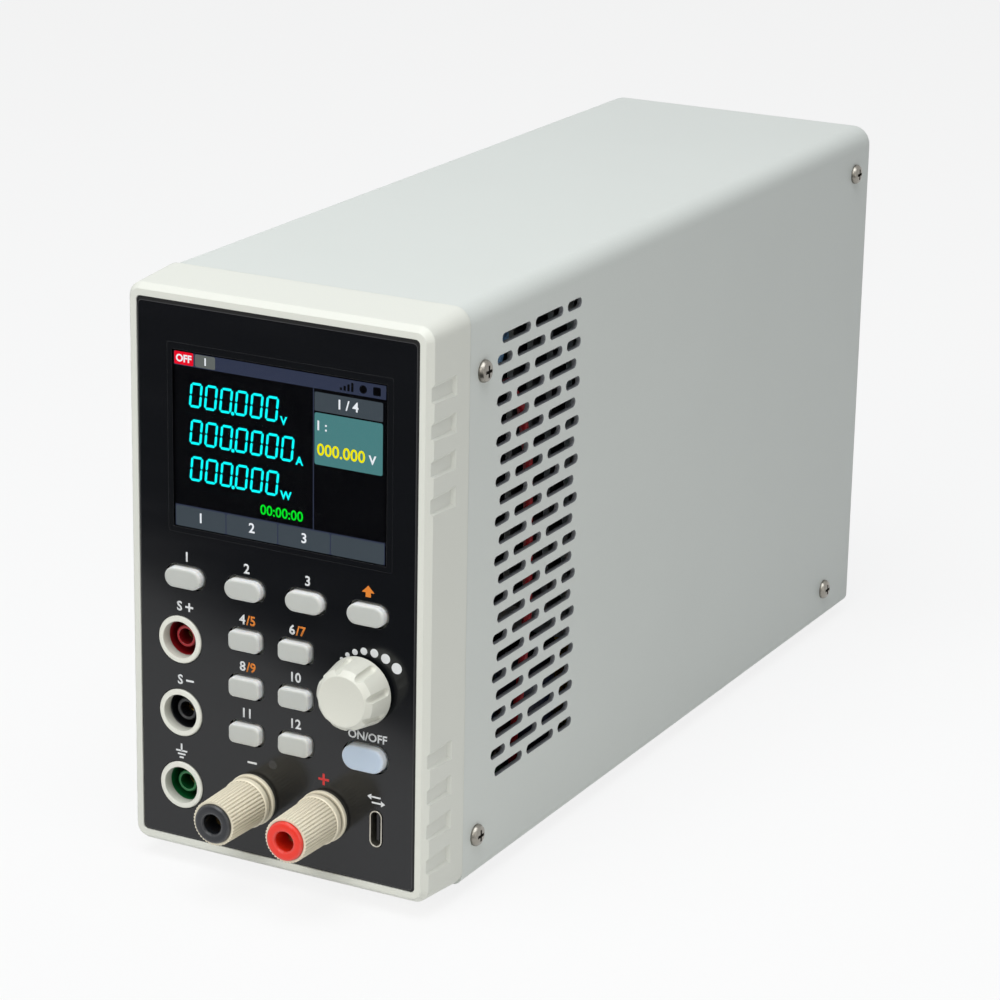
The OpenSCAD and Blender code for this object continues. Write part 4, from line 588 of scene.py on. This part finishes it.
# %% Give the finishes
WORN_BY = {
    "bezel_ivory": "front_bezel",
    "panel_print": "front_panel",
    "clear_window": "display_window",
    "display_glass": "lcd_module",
    "board_green": "front_board power_board",
    "mat_grey": "key_mat",
    "key_blue": "key_load",
    "knob_ivory": "knob",
    "collar_ivory": "socket_collars",
    "sleeve_red": "sense_plus_sleeve",
    "sleeve_green": "earth_sleeve",
    "signal_red": "positive_insert",
    "signal_black": "negative_insert sense_minus_sleeve",
    "post_cream": "post_bases negative_cap positive_cap",
    "case_paint": "outer_cover rear_panel",
    "screw_zinc": "cover_screws",
    "zinc_sheet": "encoder_body bottom_chassis",
    "plated_steel": "encoder_shaft negative_washer positive_washer usb_shell machine_screws",
    "brass": "socket_contacts post_studs post_nuts spacers inlet_pins",
    "copper": "bus_bars",
    "extruded_aluminium": "heatsink",
    "bright_wire": "fan_guard",
    "foot_rubber": "feet",
    "capacitor_sleeve": "capacitors",
    "winding_tape": "transformer",
    "lead_red": "red_lead",
    "lead_blue": "blue_lead",
    "black_plastic": "encoder_rotor usb_tongue power_transistors fan_frame fan_impeller mains_inlet "
                     "fuse_drawer switch_body power_rocker",
}
FINISH_OF = {node: FINISHES[finish] for finish, nodes in WORN_BY.items() for node in nodes.split()}
for name, part in parts.items():
    part.data.materials.clear()
    part.data.materials.append(FINISH_OF.get(name, FINISHES["key_grey"]))
for name in ("front_panel", "display_window"):
    sheet = parts[name].data
    sheet.materials.append(FINISHES["blackened_edge"])
    for face in sheet.polygons:
        face.material_index = 0 if abs(face.normal.y) > 0.5 else 1
print("finishes given to", len(parts), "parts")

# %% [markdown]
# ## Crisp edges
# Parts come with shading that flows round shallow edges, which hides the lip of the bezel, the dish of
# the knob and the ribs of the posts. Only the shading changes here: faces that meet at a small angle share
# a normal, and steeper ones keep their own.
# An edge split would do it too, but that makes new points, and the solids have to keep theirs.

# %% Crisp edges
WELD = 0.002 * MM


def crisp(part, degrees):
    """Gives a part new shading normals, shared only between faces that meet at less than an angle."""
    mesh = part.data
    limit = math.cos(math.radians(degrees))
    meeting = {}
    for face in mesh.polygons:
        for corner in face.loop_indices:
            place = mesh.vertices[mesh.loops[corner].vertex_index].co
            key = tuple(round(v / WELD) for v in place)
            meeting.setdefault(key, []).append((corner, face.normal.copy(), face.area))
    normals = [Vector((0, 0, 1))] * len(mesh.loops)
    for corners in meeting.values():
        for corner, normal, _ in corners:
            near = [other * area for _, other, area in corners if other.dot(normal) > limit]
            normals[corner] = sum(near, Vector()).normalized() if near else normal
    mesh.shade_smooth()
    mesh.normals_split_custom_set(normals)


CRISP = {13: "knob", 30: "negative_insert positive_insert", 38: "cover_screws",
         20: "front_bezel negative_cap positive_cap post_bases socket_collars sense_plus_sleeve "
             "sense_minus_sleeve earth_sleeve outer_cover"}
CRISP_AT = {name: degrees for degrees, names in CRISP.items() for name in names.split()}
CRISP_AT.update({name: 35 for name in parts if name.startswith("key_")})
for name, degrees in CRISP_AT.items():
    crisp(parts[name], degrees)
print("parts shaded again:", len(CRISP_AT))

# %% [markdown]
# ## Flat pieces and lettering
# Print and pixels are thin films. Each film here is a closed plate a few hundredths of a millimetre thick,
# because a plate with a back exports cleanly and a bare face doesn't.
# Places are given as on the drawing of the front: x to the right and z up from the bottom of the case.

# %% Film helpers
PANEL_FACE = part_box("front_panel")[0].y
GLASS_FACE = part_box("lcd_module")[0].y
FILM = 0.02 * MM
LAYER = 0.03 * MM


def add_piece(name, mesh, finish, body="housing"):
    """Puts a finished mesh in the scene and lets it ride on a body."""
    mesh.materials.clear()
    mesh.materials.append(finish)
    piece = new_object(name, mesh)
    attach(piece, body)
    return piece


def rounded(x0, x1, z0, z1, radius):
    """A rectangle with round corners, counter-clockwise seen from the front."""
    if radius <= 0:
        return [(x0, z0), (x1, z0), (x1, z1), (x0, z1)]
    corners = [(x1 - radius, z0 + radius, -90), (x1 - radius, z1 - radius, 0),
               (x0 + radius, z1 - radius, 90), (x0 + radius, z0 + radius, 180)]
    points = [(x, z, math.radians(start + step)) for x, z, start in corners for step in (0, 30, 60, 90)]
    return [(x + radius * math.cos(angle), z + radius * math.sin(angle)) for x, z, angle in points]


def disc(x, z, radius):
    """A round outline."""
    return rounded(x - radius, x + radius, z - radius, z + radius, radius)


def closed_mesh(name, form):
    """Turns the faces of a form outward and makes it a mesh."""
    bmesh.ops.recalc_face_normals(form, faces=form.faces)
    mesh = bpy.data.meshes.new(name)
    form.to_mesh(mesh)
    form.free()
    return mesh


def film_mesh(name, outlines, front):
    """One mesh of closed plates. The outlines are in millimetres and the depth of their front in metres."""
    form = bmesh.new()
    for outline in outlines:
        near = [form.verts.new((x * MM, front, z * MM + CASE_BOTTOM)) for x, z in outline]
        far = [form.verts.new((v.co.x, front + FILM, v.co.z)) for v in near]
        form.faces.new(near)
        form.faces.new(reversed(far))
        for i, corner in enumerate(near):
            after = (i + 1) % len(near)
            form.faces.new((corner, far[i], far[after], near[after]))
    return closed_mesh(name, form)


def baked(carrier):
    """The finished mesh of an object, which is removed."""
    bpy.context.view_layer.update()
    graph = bpy.context.evaluated_depsgraph_get()
    mesh = bpy.data.meshes.new_from_object(carrier.evaluated_get(graph))
    bpy.data.objects.remove(carrier)
    return mesh


def text_mesh(name, words, weight=0.0):
    """Lettering lying in its own plane, one unit high to the top of a numeral."""
    curve = bpy.data.curves.new(name, "FONT")
    curve.body = words
    curve.offset = weight
    curve.resolution_u = 3
    mesh = baked(new_object(name, curve))
    bpy.data.curves.remove(curve)
    return mesh


numeral = text_mesh("numeral_gauge", "0")
NUMERAL_HEIGHT = max(v.co.y for v in numeral.vertices)
bpy.data.meshes.remove(numeral)


def lettering(name, words, x, z, height, finish, front, align=0.5, weight=0.0):
    """Lettering as a film that stands on z. Align 0 starts at x, 0.5 centres on it and 1 ends at it."""
    mesh = text_mesh(name, words, weight)
    form = bmesh.new()
    form.from_mesh(mesh)
    bmesh.ops.remove_doubles(form, verts=form.verts, dist=1e-5)
    scale = height * MM / NUMERAL_HEIGHT
    low = min(v.co.x for v in form.verts)
    high = max(v.co.x for v in form.verts)
    start = x * MM - (low + (high - low) * align) * scale
    for v in form.verts:
        v.co = Vector((start + v.co.x * scale, front, CASE_BOTTOM + z * MM + v.co.y * scale))
    grown = bmesh.ops.extrude_face_region(form, geom=form.faces[:])
    moved = [v for v in grown["geom"] if isinstance(v, bmesh.types.BMVert)]
    bmesh.ops.translate(form, verts=moved, vec=(0, FILM, 0))
    bpy.data.meshes.remove(mesh)
    return add_piece(name, closed_mesh(name, form), finish)


print("panel face at", round(PANEL_FACE / MM, 3), "mm, glass at", round(GLASS_FACE / MM, 3), "mm")

# %% [markdown]
# ## The lit picture
# A colour display is a grid of small lamps, so its finishes glow instead of reflecting.
# A node group draws the dark lines between the pixels, about a sixth of a millimetre apart,
# and every colour of the picture uses it.

# %% Pixel finishes
def pixel_group():
    tree, given, end = new_group(
        "pixel_grid", "Shader", {"Color": "Color", "Pitch": 0.00018}, {"Color": "Color"})
    place = xyz(tree, object_place(tree))
    gain = 1.0
    for axis in ("X", "Z"):
        share = calc(tree, "FRACT", calc(tree, "DIVIDE", place[axis], given["Pitch"]))
        line = calc(tree, "GREATER_THAN", share, 0.14)
        gain = times(tree, gain, calc(tree, "ADD", times(tree, line, 0.3), 0.7))
    feed(tree, end.inputs, {"Color": scaled(tree, given["Color"], gain)})
    return tree


GRID = pixel_group()
PITCH = 0.18 * MM
GLOW, CYAN_GLOW = 1.05, 1.3


def pixel(name, colour):
    material, tree, shader = start_material("pixel_" + name)
    lit = use(tree, GRID, {"Color": srgb(*colour), "Pitch": PITCH})
    feed(tree, shader, {
        "Base Color": (0.004, 0.004, 0.004, 1), "Specular IOR Level": 0.0,
        "Emission Color": lit["Color"], "Emission Strength": CYAN_GLOW if name == "cyan" else GLOW})
    return material


PIXEL_COLOURS = {"black": (3, 3, 5), "slate": (52, 58, 78), "cell": (68, 76, 82), "teal": (78, 132, 132),
                 "red": (246, 10, 40), "grey": (104, 108, 104), "cyan": (10, 250, 250),
                 "yellow": (255, 244, 0), "green": (0, 240, 40), "white": (248, 250, 252)}
PIXEL = {name: pixel(name, colour) for name, colour in PIXEL_COLOURS.items()}
print("pixel finishes:", list(PIXEL))

# %% [markdown]
# ## Bars and boxes of the picture
# The picture is laid out in layers: a black ground, then bars and boxes, then figures.
# Each layer lies a few hundredths of a millimetre in front of the last, between the glass and the window.

# %% Bars and boxes
SCREEN = (-28.25, 28.6, 83.25, 125.85)
STATUS_Z = 122.55
CELL_TOP = 88.55
CELL_EDGES = (-28.25, -14.25, -0.05, 14.15, 28.6)
CELL_GAP = 0.15
DIVIDER = (9.43, 9.67)
COLUMN = (9.85, 27.85)
SIGNS_FOOT, SIGNS_TOP = 123.15, 125.15


def layer(number):
    """Depth of the front of a layer of the picture."""
    return GLASS_FACE - FILM - number * LAYER


def lit_piece(name, outlines, number, pixels):
    """Films of one colour in a layer of the picture."""
    return add_piece(name, film_mesh(name, outlines, layer(number)), PIXEL[pixels])


left, right, low, high = SCREEN
cell_top = CELL_TOP - 2 * CELL_GAP
cells = [(a + CELL_GAP, b - CELL_GAP, low, cell_top) for a, b in zip(CELL_EDGES, CELL_EDGES[1:])]
steps = [(16.5 + i, 17.1 + i, SIGNS_FOOT, 123.75 + 0.5 * i) for i in range(4)]
# Each film: its boxes as left, right, bottom and top, its layer, its colour and the radius of its corners.
films = {
    "ground": ([SCREEN], 0, "black", 0.0),
    "bars": ([(left, right, STATUS_Z, high), (left, right, low, CELL_TOP), (*DIVIDER, CELL_TOP, STATUS_Z)],
             1, "slate", 0.0),
    "cells": (cells, 2, "cell", 0.5),
    "header": ([(*COLUMN, 117.25, 121.75)], 1.5, "cell", 0.3),
    "setting": ([(*COLUMN, 104.45, 116.85)], 1.5, "teal", 0.5),
    "state": ([(-28.15, -22.95, 122.75, 125.85)], 2, "red", 0.3),
    "mode": ([(-22.45, -16.95, 122.75, 125.75)], 2, "grey", 0.4),
    "level": (steps, 2, "black", 0.0),
    "lamp": ([(21.65, 23.65, SIGNS_FOOT, SIGNS_TOP)], 2, "black", 1.0),
    "page": ([(25.25, 27.25, SIGNS_FOOT, SIGNS_TOP)], 2, "black", 0.3),
}
for name, (boxes, number, pixels, radius) in films.items():
    lit_piece("picture_" + name, [rounded(*box, radius) for box in boxes], number, pixels)
print("picture:", right - left, "by", round(high - low, 1), "mm")

# %% [markdown]
# ## Figures of the meter
# The readings are seven-segment noughts. One nought is six bars with pointed ends, leaning a little.
# A geometry tree copies it along a line, with the number of copies and the step as its inputs,
# so the three rows are three runs of one tree.

# %% Row tree and readings
def finish_tree(tree, given, end, copies):
    """Ends a geometry tree: copies become real and get their finish."""
    real = put(tree, "GeometryNodeRealizeInstances", {0: copies.outputs[0]})
    feeds = {"Geometry": real.outputs[0], "Material": given["Finish"]}
    feed(tree, end.inputs, {0: put(tree, "GeometryNodeSetMaterial", feeds).outputs[0]})
    return tree


def row_tree():
    tree, given, end = new_group("row_of_copies", "Geometry", {
        "Geometry": "Geometry", "Count": 6, "Step": (0.004, 0, 0), "Finish": "Material"},
        {"Geometry": "Geometry"})
    line = put(tree, "GeometryNodeMeshLine", {"Count": given["Count"], "Offset": given["Step"]})
    feeds = {"Points": line.outputs[0], "Instance": given["Geometry"]}
    return finish_tree(tree, given, end, put(tree, "GeometryNodeInstanceOnPoints", feeds))


def grow(name, tree, values, source, finish):
    """Runs a geometry tree on a mesh and keeps the result as a plain piece."""
    carrier = new_object(name + "_carrier", source)
    modifier = carrier.modifiers.new("grow", "NODES")
    modifier.node_group = tree
    sockets = {s.name: s.identifier for s in tree.interface.items_tree if s.in_out == "INPUT"}
    for label, value in dict(values, Finish=finish).items():
        modifier[sockets[label]] = value
    mesh = baked(carrier)
    mesh.name = name
    return add_piece(name, mesh, finish)


DIGIT_W, DIGIT_H, STROKE = 3.35, 6.1, 0.6
DIGIT_PITCH = 4.15
DIGIT_START = -24.3
SEGMENT_GAP = 0.07
LEAN = math.tan(math.radians(6))
POINT_BACK, POINT_LIFT, POINT_R = 0.35, 0.2, 0.45
UNIT_DROP, UNIT_HEIGHT, UNIT_WEIGHT = 0.3, 1.9, 0.03


def segment(start, end, half, gap):
    """A bar with pointed ends between two points of the drawing."""
    along = (Vector(end) - Vector(start)).normalized()
    side = Vector((-along.y, along.x)) * half
    a = Vector(start) + along * gap
    b = Vector(end) - along * gap
    tip = along * half
    return [a, a + tip - side, b - tip - side, b, b - tip + side, a + tip + side]


def nought(x, z):
    """Outlines of one leaning nought with its lower left corner at x, z."""
    half = STROKE / 2
    lo, mid, hi = half, DIGIT_H / 2, DIGIT_H - half
    left, right = half, DIGIT_W - half
    posts = [(left, lo), (left, mid), (left, hi), (right, hi), (right, mid), (right, lo)]
    bars = [segment(a, b, half, SEGMENT_GAP) for a, b in zip(posts, posts[1:] + posts[:1])]
    return [[(x + p.x + LEAN * p.y, z + p.y) for p in bar] for bar in bars]


ROW = row_tree()
readings = [("volts", 112.8, 6, "V"), ("amperes", 103.85, 7, "A"), ("watts", 94.9, 6, "W")]
for name, z, count, unit in readings:
    source = film_mesh("nought", nought(DIGIT_START, z), layer(2))
    grow("reading_" + name, ROW, {"Count": count, "Step": (DIGIT_PITCH * MM, 0, 0)}, source, PIXEL["cyan"])
    point_x = DIGIT_START + 3 * DIGIT_PITCH - POINT_BACK
    lit_piece("point_" + name, [disc(point_x, z + POINT_LIFT, POINT_R)], 3, "cyan")
    lettering("unit_" + name, unit, DIGIT_START + count * DIGIT_PITCH, z - UNIT_DROP, UNIT_HEIGHT,
              PIXEL["cyan"], layer(2), 0.0, UNIT_WEIGHT)
print("readings:", [name for name, *rest in readings])

# %% [markdown]
# ## Small figures of the picture
# The set value, the clock and the plain numbers on the soft keys are ordinary lettering.
# Only numbers and units are written, as on a dial.

# %% Small figures
FIGURES_LAYER = 2.6
CELL_FOOT = 84.85
# Each figure: its name, words, place, height, colour, alignment and weight.
figures = [
    ("set_value", "000.000", 10.55, 106.8, 2.75, "yellow", 0.0, 0.02),
    ("set_unit", "V", 24.2, 106.8, 2.0, "white", 0.0, 0.03),
    ("set_number", "1 :", 10.65, 112.75, 2.2, "white", 0.0, 0.02),
    ("clock", "00:00:00", 6.8, 89.9, 2.35, "green", 1.0, 0.016),
    ("page_number", "1 / 4", 18.85, 118.55, 2.2, "white", 0.5, 0.02),
    ("state_off", "OFF", -25.55, 123.45, 1.7, "white", 0.5, 0.03),
    ("mode_number", "1", -19.65, 123.45, 1.7, "white", 0.5, 0.03),
]
for i in range(3):
    middle = (CELL_EDGES[i] + CELL_EDGES[i + 1]) / 2
    figures.append((f"cell_number_{i + 1}", str(i + 1), middle, CELL_FOOT, 2.3, "white", 0.5, 0.02))
for name, words, x, z, height, pixels, align, weight in figures:
    lettering(name, words, x, z, height, PIXEL[pixels], layer(FIGURES_LAYER), align, weight)
print("figures:", len(figures))

# %% [markdown]
# ## Print on the panel
# The legends are screen printed in white and orange ink. Plain numbers and signs stand over the keys,
# each placed from the key that it belongs to, so a moved key would take its number along.

# %% Panel print
def ink(name, colour):
    material, tree, shader = start_material(name)
    skin = use(tree, GRAIN, {"Color": colour, "Grain Size": 0.25 * MM, "Mottle": 0.08})
    feed(tree, shader, {"Base Color": skin["Color"], "Roughness": spread(tree, skin["Height"], 0.4, 0.55)})
    return material


INK_WHITE = ink("ink_white", srgb(226, 228, 230))
INK_ORANGE = ink("ink_orange", srgb(226, 128, 28))
INK_RED = ink("ink_red", srgb(206, 48, 48))
PRINT_FACE = PANEL_FACE - FILM


def middle_of(node):
    """Centre of a part on the drawing of the front, in millimetres."""
    lo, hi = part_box(node)
    return (lo.x + hi.x) / 2 / MM, ((lo.z + hi.z) / 2 - CASE_BOTTOM) / MM


def printed(name, outlines, finish=INK_WHITE):
    return add_piece(name, film_mesh(name, outlines, PRINT_FACE), finish)


WEIGHT = 0.024
LABEL_LIFT, LABEL_HEIGHT = 4.0, 2.3
LOAD_LIFT, LOAD_HEIGHT = 4.3, 2.0
SOFT_KEYS = ("key_f1", "key_f2", "key_f3")
MENU = [("key_current", "4", "5"), ("key_voltage", "6", "7"), ("key_trigger", "8", "9"),
        ("key_short", "10", ""), ("key_escape", "11", ""), ("key_enter", "12", "")]
ARROW = [(-1.7, 5.3), (-0.7, 5.3), (-0.7, 4.2), (0.7, 4.2), (0.7, 5.3), (1.7, 5.3), (0, 7.0)]


def label(name, words, x, z, finish=INK_WHITE, align=0.5, height=LABEL_HEIGHT):
    return lettering(name, words, x, z, height, finish, PRINT_FACE, align, WEIGHT)


for i, key in enumerate(SOFT_KEYS):
    x, z = middle_of(key)
    label(f"print_soft_{i + 1}", str(i + 1), x + 0.4, z + LABEL_LIFT)
x, z = middle_of("key_shift")
printed("print_shift_arrow", [[(x + across, z + up) for across, up in ARROW]], INK_ORANGE)
for key, plain, shifted in MENU:
    x, z = middle_of(key)
    if shifted:
        label("print_plain_" + key, plain, x - 0.3, z + LABEL_LIFT, align=1.0)
        label("print_shifted_" + key, "/" + shifted, x - 0.1, z + LABEL_LIFT, INK_ORANGE, 0.0)
    else:
        label("print_plain_" + key, plain, x, z + LABEL_LIFT)
x, z = middle_of("key_load")
label("print_on_off", "ON/OFF", x + 0.5, z + LOAD_LIFT, height=LOAD_HEIGHT)
print("print over", len(SOFT_KEYS) + len(MENU) + 2, "keys")

# %% [markdown]
# ## Signs by the terminals
# The sense sockets carry a plus and a minus, the earth socket three shortening lines, and each binding post
# its own polarity. A bar is one rounded plate, so every sign is a list of bars.

# %% Terminal signs
def bar(x, z, width, height):
    """A bar with rounded corners about a middle."""
    half_w, half_h = width / 2, height / 2
    return rounded(x - half_w, x + half_w, z - half_h, z + half_h, min(width, height) / 4)


def plus(x, z, size, line):
    """A plus sign in one outline: three points of one arm, turned four times."""
    arm, half = size / 2, line / 2
    points = []
    for quarter in range(4):
        turn = Matrix.Rotation(quarter * math.pi / 2, 2)
        points += [Vector((x, z)) + turn @ Vector(p) for p in ((half, -half), (arm, -half), (arm, half))]
    return points


SIGN, LINE, SIGN_LIFT, SIGN_SHIFT = 2.2, 0.5, 8.5, 2.6
EARTH_STEM, EARTH_FIRST, EARTH_STEP = 9.7, 8.8, 0.85
MINUS_LIFT, PLUS_LIFT = 9.3, 9.25
DATA_LIFT, DATA_ROW, DATA_TIP, HEAD_LONG, HEAD_HALF = 7.2, 0.7, 2.4, 1.1, 0.75
for node, sign in (("sense_plus_sleeve", plus), ("sense_minus_sleeve", bar)):
    x, z = middle_of(node)
    sign_z = z + SIGN_LIFT
    label("print_" + node, "S", x + 0.6, sign_z - LABEL_HEIGHT / 2, align=1.0)
    printed("print_sign_" + node, [sign(x + SIGN_SHIFT, sign_z, SIGN, LINE)])
x, z = middle_of("earth_sleeve")
lines = [bar(x, z + EARTH_FIRST - EARTH_STEP * i, 3.2 - 1.0 * i, 0.42) for i in range(3)]
printed("print_earth", [bar(x, z + EARTH_STEM, 0.45, 1.9)] + lines)
minus_x, post_z = middle_of("negative_insert")
plus_x, post_z = middle_of("positive_insert")
printed("print_minus", [bar(minus_x, post_z + MINUS_LIFT, 2.6, 0.5)])
printed("print_plus", [plus(plus_x, post_z + PLUS_LIFT, 2.9, 0.6)], INK_RED)
x, z = middle_of("usb_shell")
arrows = []
for side in (-1, 1):
    tip = x + side * DATA_TIP
    neck = tip - side * HEAD_LONG
    row = z + DATA_LIFT - side * DATA_ROW
    arrows.append([(tip, row), (neck, row + HEAD_HALF), (neck, row - HEAD_HALF)][::side])
    arrows.append(bar(x + side * 0.1, row, 2.6, 0.42))
printed("print_data_arrows", arrows)
print("terminal signs printed")

# %% [markdown]
# ## Border and mark of the panel
# The printed sheet stops a little short of the bezel at the top and on the right. The shadow in that gap is
# painted as a dark band, and a thin grey line beside it is a painted highlight on the sheet's cut edge. A
# printed border hides the joint round the window. All are flat rings between two outlines. A faint round
# mark lies between the posts.

# %% Panel border
def ring(name, outer, inner, finish):
    """A closed flat ring on the panel, between two outlines that have as many points each."""
    form = bmesh.new()
    near_out, near_in, far_out, far_in = [
        [form.verts.new((x * MM, depth, z * MM + CASE_BOTTOM)) for x, z in outline]
        for depth in (PRINT_FACE, PRINT_FACE + FILM) for outline in (outer, inner)]
    for i in range(len(outer)):
        j = (i + 1) % len(outer)
        form.faces.new((near_out[i], near_out[j], near_in[j], near_in[i]))
        form.faces.new((far_out[j], far_out[i], far_in[i], far_in[j]))
        form.faces.new((near_out[j], near_out[i], far_out[i], far_out[j]))
        form.faces.new((near_in[i], near_in[j], far_in[j], far_in[i]))
    return add_piece(name, closed_mesh(name, form), finish)


def front_sides(box, out):
    """Left, right, bottom and top of a box on the drawing of the front, moved out by some millimetres."""
    lo, hi = box
    return (lo.x / MM - out, hi.x / MM + out,
            (lo.z - CASE_BOTTOM) / MM - out, (hi.z - CASE_BOTTOM) / MM + out)


# A painted highlight for the sheet's cut edge, beside the painted shadow of the gap.
PAINTED_EDGE_HIGHLIGHT = ink("painted_cut_edge_highlight", srgb(58, 58, 60))
EDGE_HIGHLIGHT_WIDTH = 0.14
PANEL_INSET = 0.05
THIN_GAP, RIGHT_GAP, TOP_GAP = 0.12, 0.6, 0.85
RIM_R, SHEET_R, OPENING_R, SIGHT_R = 1.0, 1.1, 0.6, 0.2
BORDER_OVER = 0.4
SIGHT_X, SIGHT_Z = 0.9, 0.6
MARK_SHIFT, MARK_LIFT, MARK_R = 5.75, 10.0, 1.15

x0, x1, z0, z1 = front_sides(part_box("front_panel"), -PANEL_INSET)
rim = rounded(x0, x1, z0, z1, RIM_R)
x0, x1, z0, z1 = x0 + THIN_GAP, x1 - RIGHT_GAP, z0 + THIN_GAP, z1 - TOP_GAP
sheet = rounded(x0, x1, z0, z1, SHEET_R)
inside = rounded(x0 + EDGE_HIGHLIGHT_WIDTH, x1 - EDGE_HIGHLIGHT_WIDTH, z0 + EDGE_HIGHLIGHT_WIDTH, z1 - EDGE_HIGHLIGHT_WIDTH, RIM_R)
# A painted shadow fills the gap, and a painted highlight marks the cut edge.
ring("panel_gap_shadow", rim, sheet, FINISHES["painted_gap_shadow"])
ring("panel_edge_highlight", sheet, inside, PAINTED_EDGE_HIGHLIGHT)
opening = rounded(*front_sides(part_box("display_window"), BORDER_OVER), OPENING_R)
sight = rounded(left, right + SIGHT_X, low, high + SIGHT_Z, SIGHT_R)
ring("window_border", opening, sight, FINISHES["panel_print"])
printed("panel_mark", [disc(minus_x + MARK_SHIFT, post_z + MARK_LIFT, MARK_R)], FINISHES["smoked_plug"])
print("border and mark added")

# %% [markdown]
# ## Dots round the knob
# Eight dots grow from a pinprick to a pea as the knob turns up. They lie on a widening arc, so their place
# and size follow from their number. A geometry tree works that out from named inputs.

# %% Dot tree
def dot_tree():
    tree, given, end = new_group("growing_dots", "Geometry", {
        "Geometry": "Geometry", "Count": 8, "Centre": (0, 0, 0), "First Angle": 2.5, "Turn": 1.5,
        "Turn Growth": 0.4, "First Radius": 0.008, "Radius Growth": 0.003, "First Dot": 0.0003,
        "Dot Growth": 0.001, "Thickness": 0.00002, "Finish": "Material"}, {"Geometry": "Geometry"})
    index = put(tree, "GeometryNodeInputIndex").outputs[0]
    share = calc(tree, "DIVIDE", index, calc(tree, "SUBTRACT", given["Count"], 1.0))
    square = times(tree, share, share)
    turned = calc(tree, "ADD", times(tree, share, given["Turn"]), times(tree, square, given["Turn Growth"]))
    angle = calc(tree, "SUBTRACT", given["First Angle"], turned)
    widening = times(tree, square, given["Radius Growth"])
    radius = calc(tree, "ADD", given["First Radius"], widening)
    dot = calc(tree, "ADD", given["First Dot"], times(tree, share, given["Dot Growth"]))
    across = times(tree, radius, calc(tree, "COSINE", angle))
    up = times(tree, radius, calc(tree, "SINE", angle))
    place = put(tree, "ShaderNodeCombineXYZ", {"X": across, "Z": up})
    moved = put(tree, "ShaderNodeVectorMath", {0: place.outputs[0], 1: given["Centre"]}, operation="ADD")
    points = put(tree, "GeometryNodePoints", {"Count": given["Count"], "Position": moved.outputs[0]})
    feeds = {"Vertices": 28, "Radius": 1.0, "Depth": given["Thickness"]}
    plate = put(tree, "GeometryNodeMeshCylinder", feeds).outputs["Mesh"]
    facing = put(tree, "GeometryNodeTransform", {"Geometry": plate, "Rotation": (math.pi / 2, 0, 0)})
    size = put(tree, "ShaderNodeCombineXYZ", {"X": dot, "Y": 1.0, "Z": dot})
    feeds = {"Points": points.outputs[0], "Instance": facing.outputs[0], "Scale": size.outputs[0]}
    return finish_tree(tree, given, end, put(tree, "GeometryNodeInstanceOnPoints", feeds))


knob_lo, knob_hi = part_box("knob")
knob_axis = (knob_lo + knob_hi) / 2
grow("print_knob_dots", dot_tree(), {
    "Count": 8, "Centre": (knob_axis.x, PANEL_FACE - FILM / 2, knob_axis.z),
    "First Angle": math.radians(144), "Turn": math.radians(86), "Turn Growth": math.radians(21),
    "First Radius": 8.5 * MM, "Radius Growth": 2.9 * MM, "First Dot": 0.3 * MM, "Dot Growth": 1.05 * MM,
    "Thickness": FILM}, bpy.data.meshes.new("dots"), INK_WHITE)
print("dots printed round", [round(v / MM, 1) for v in knob_axis])
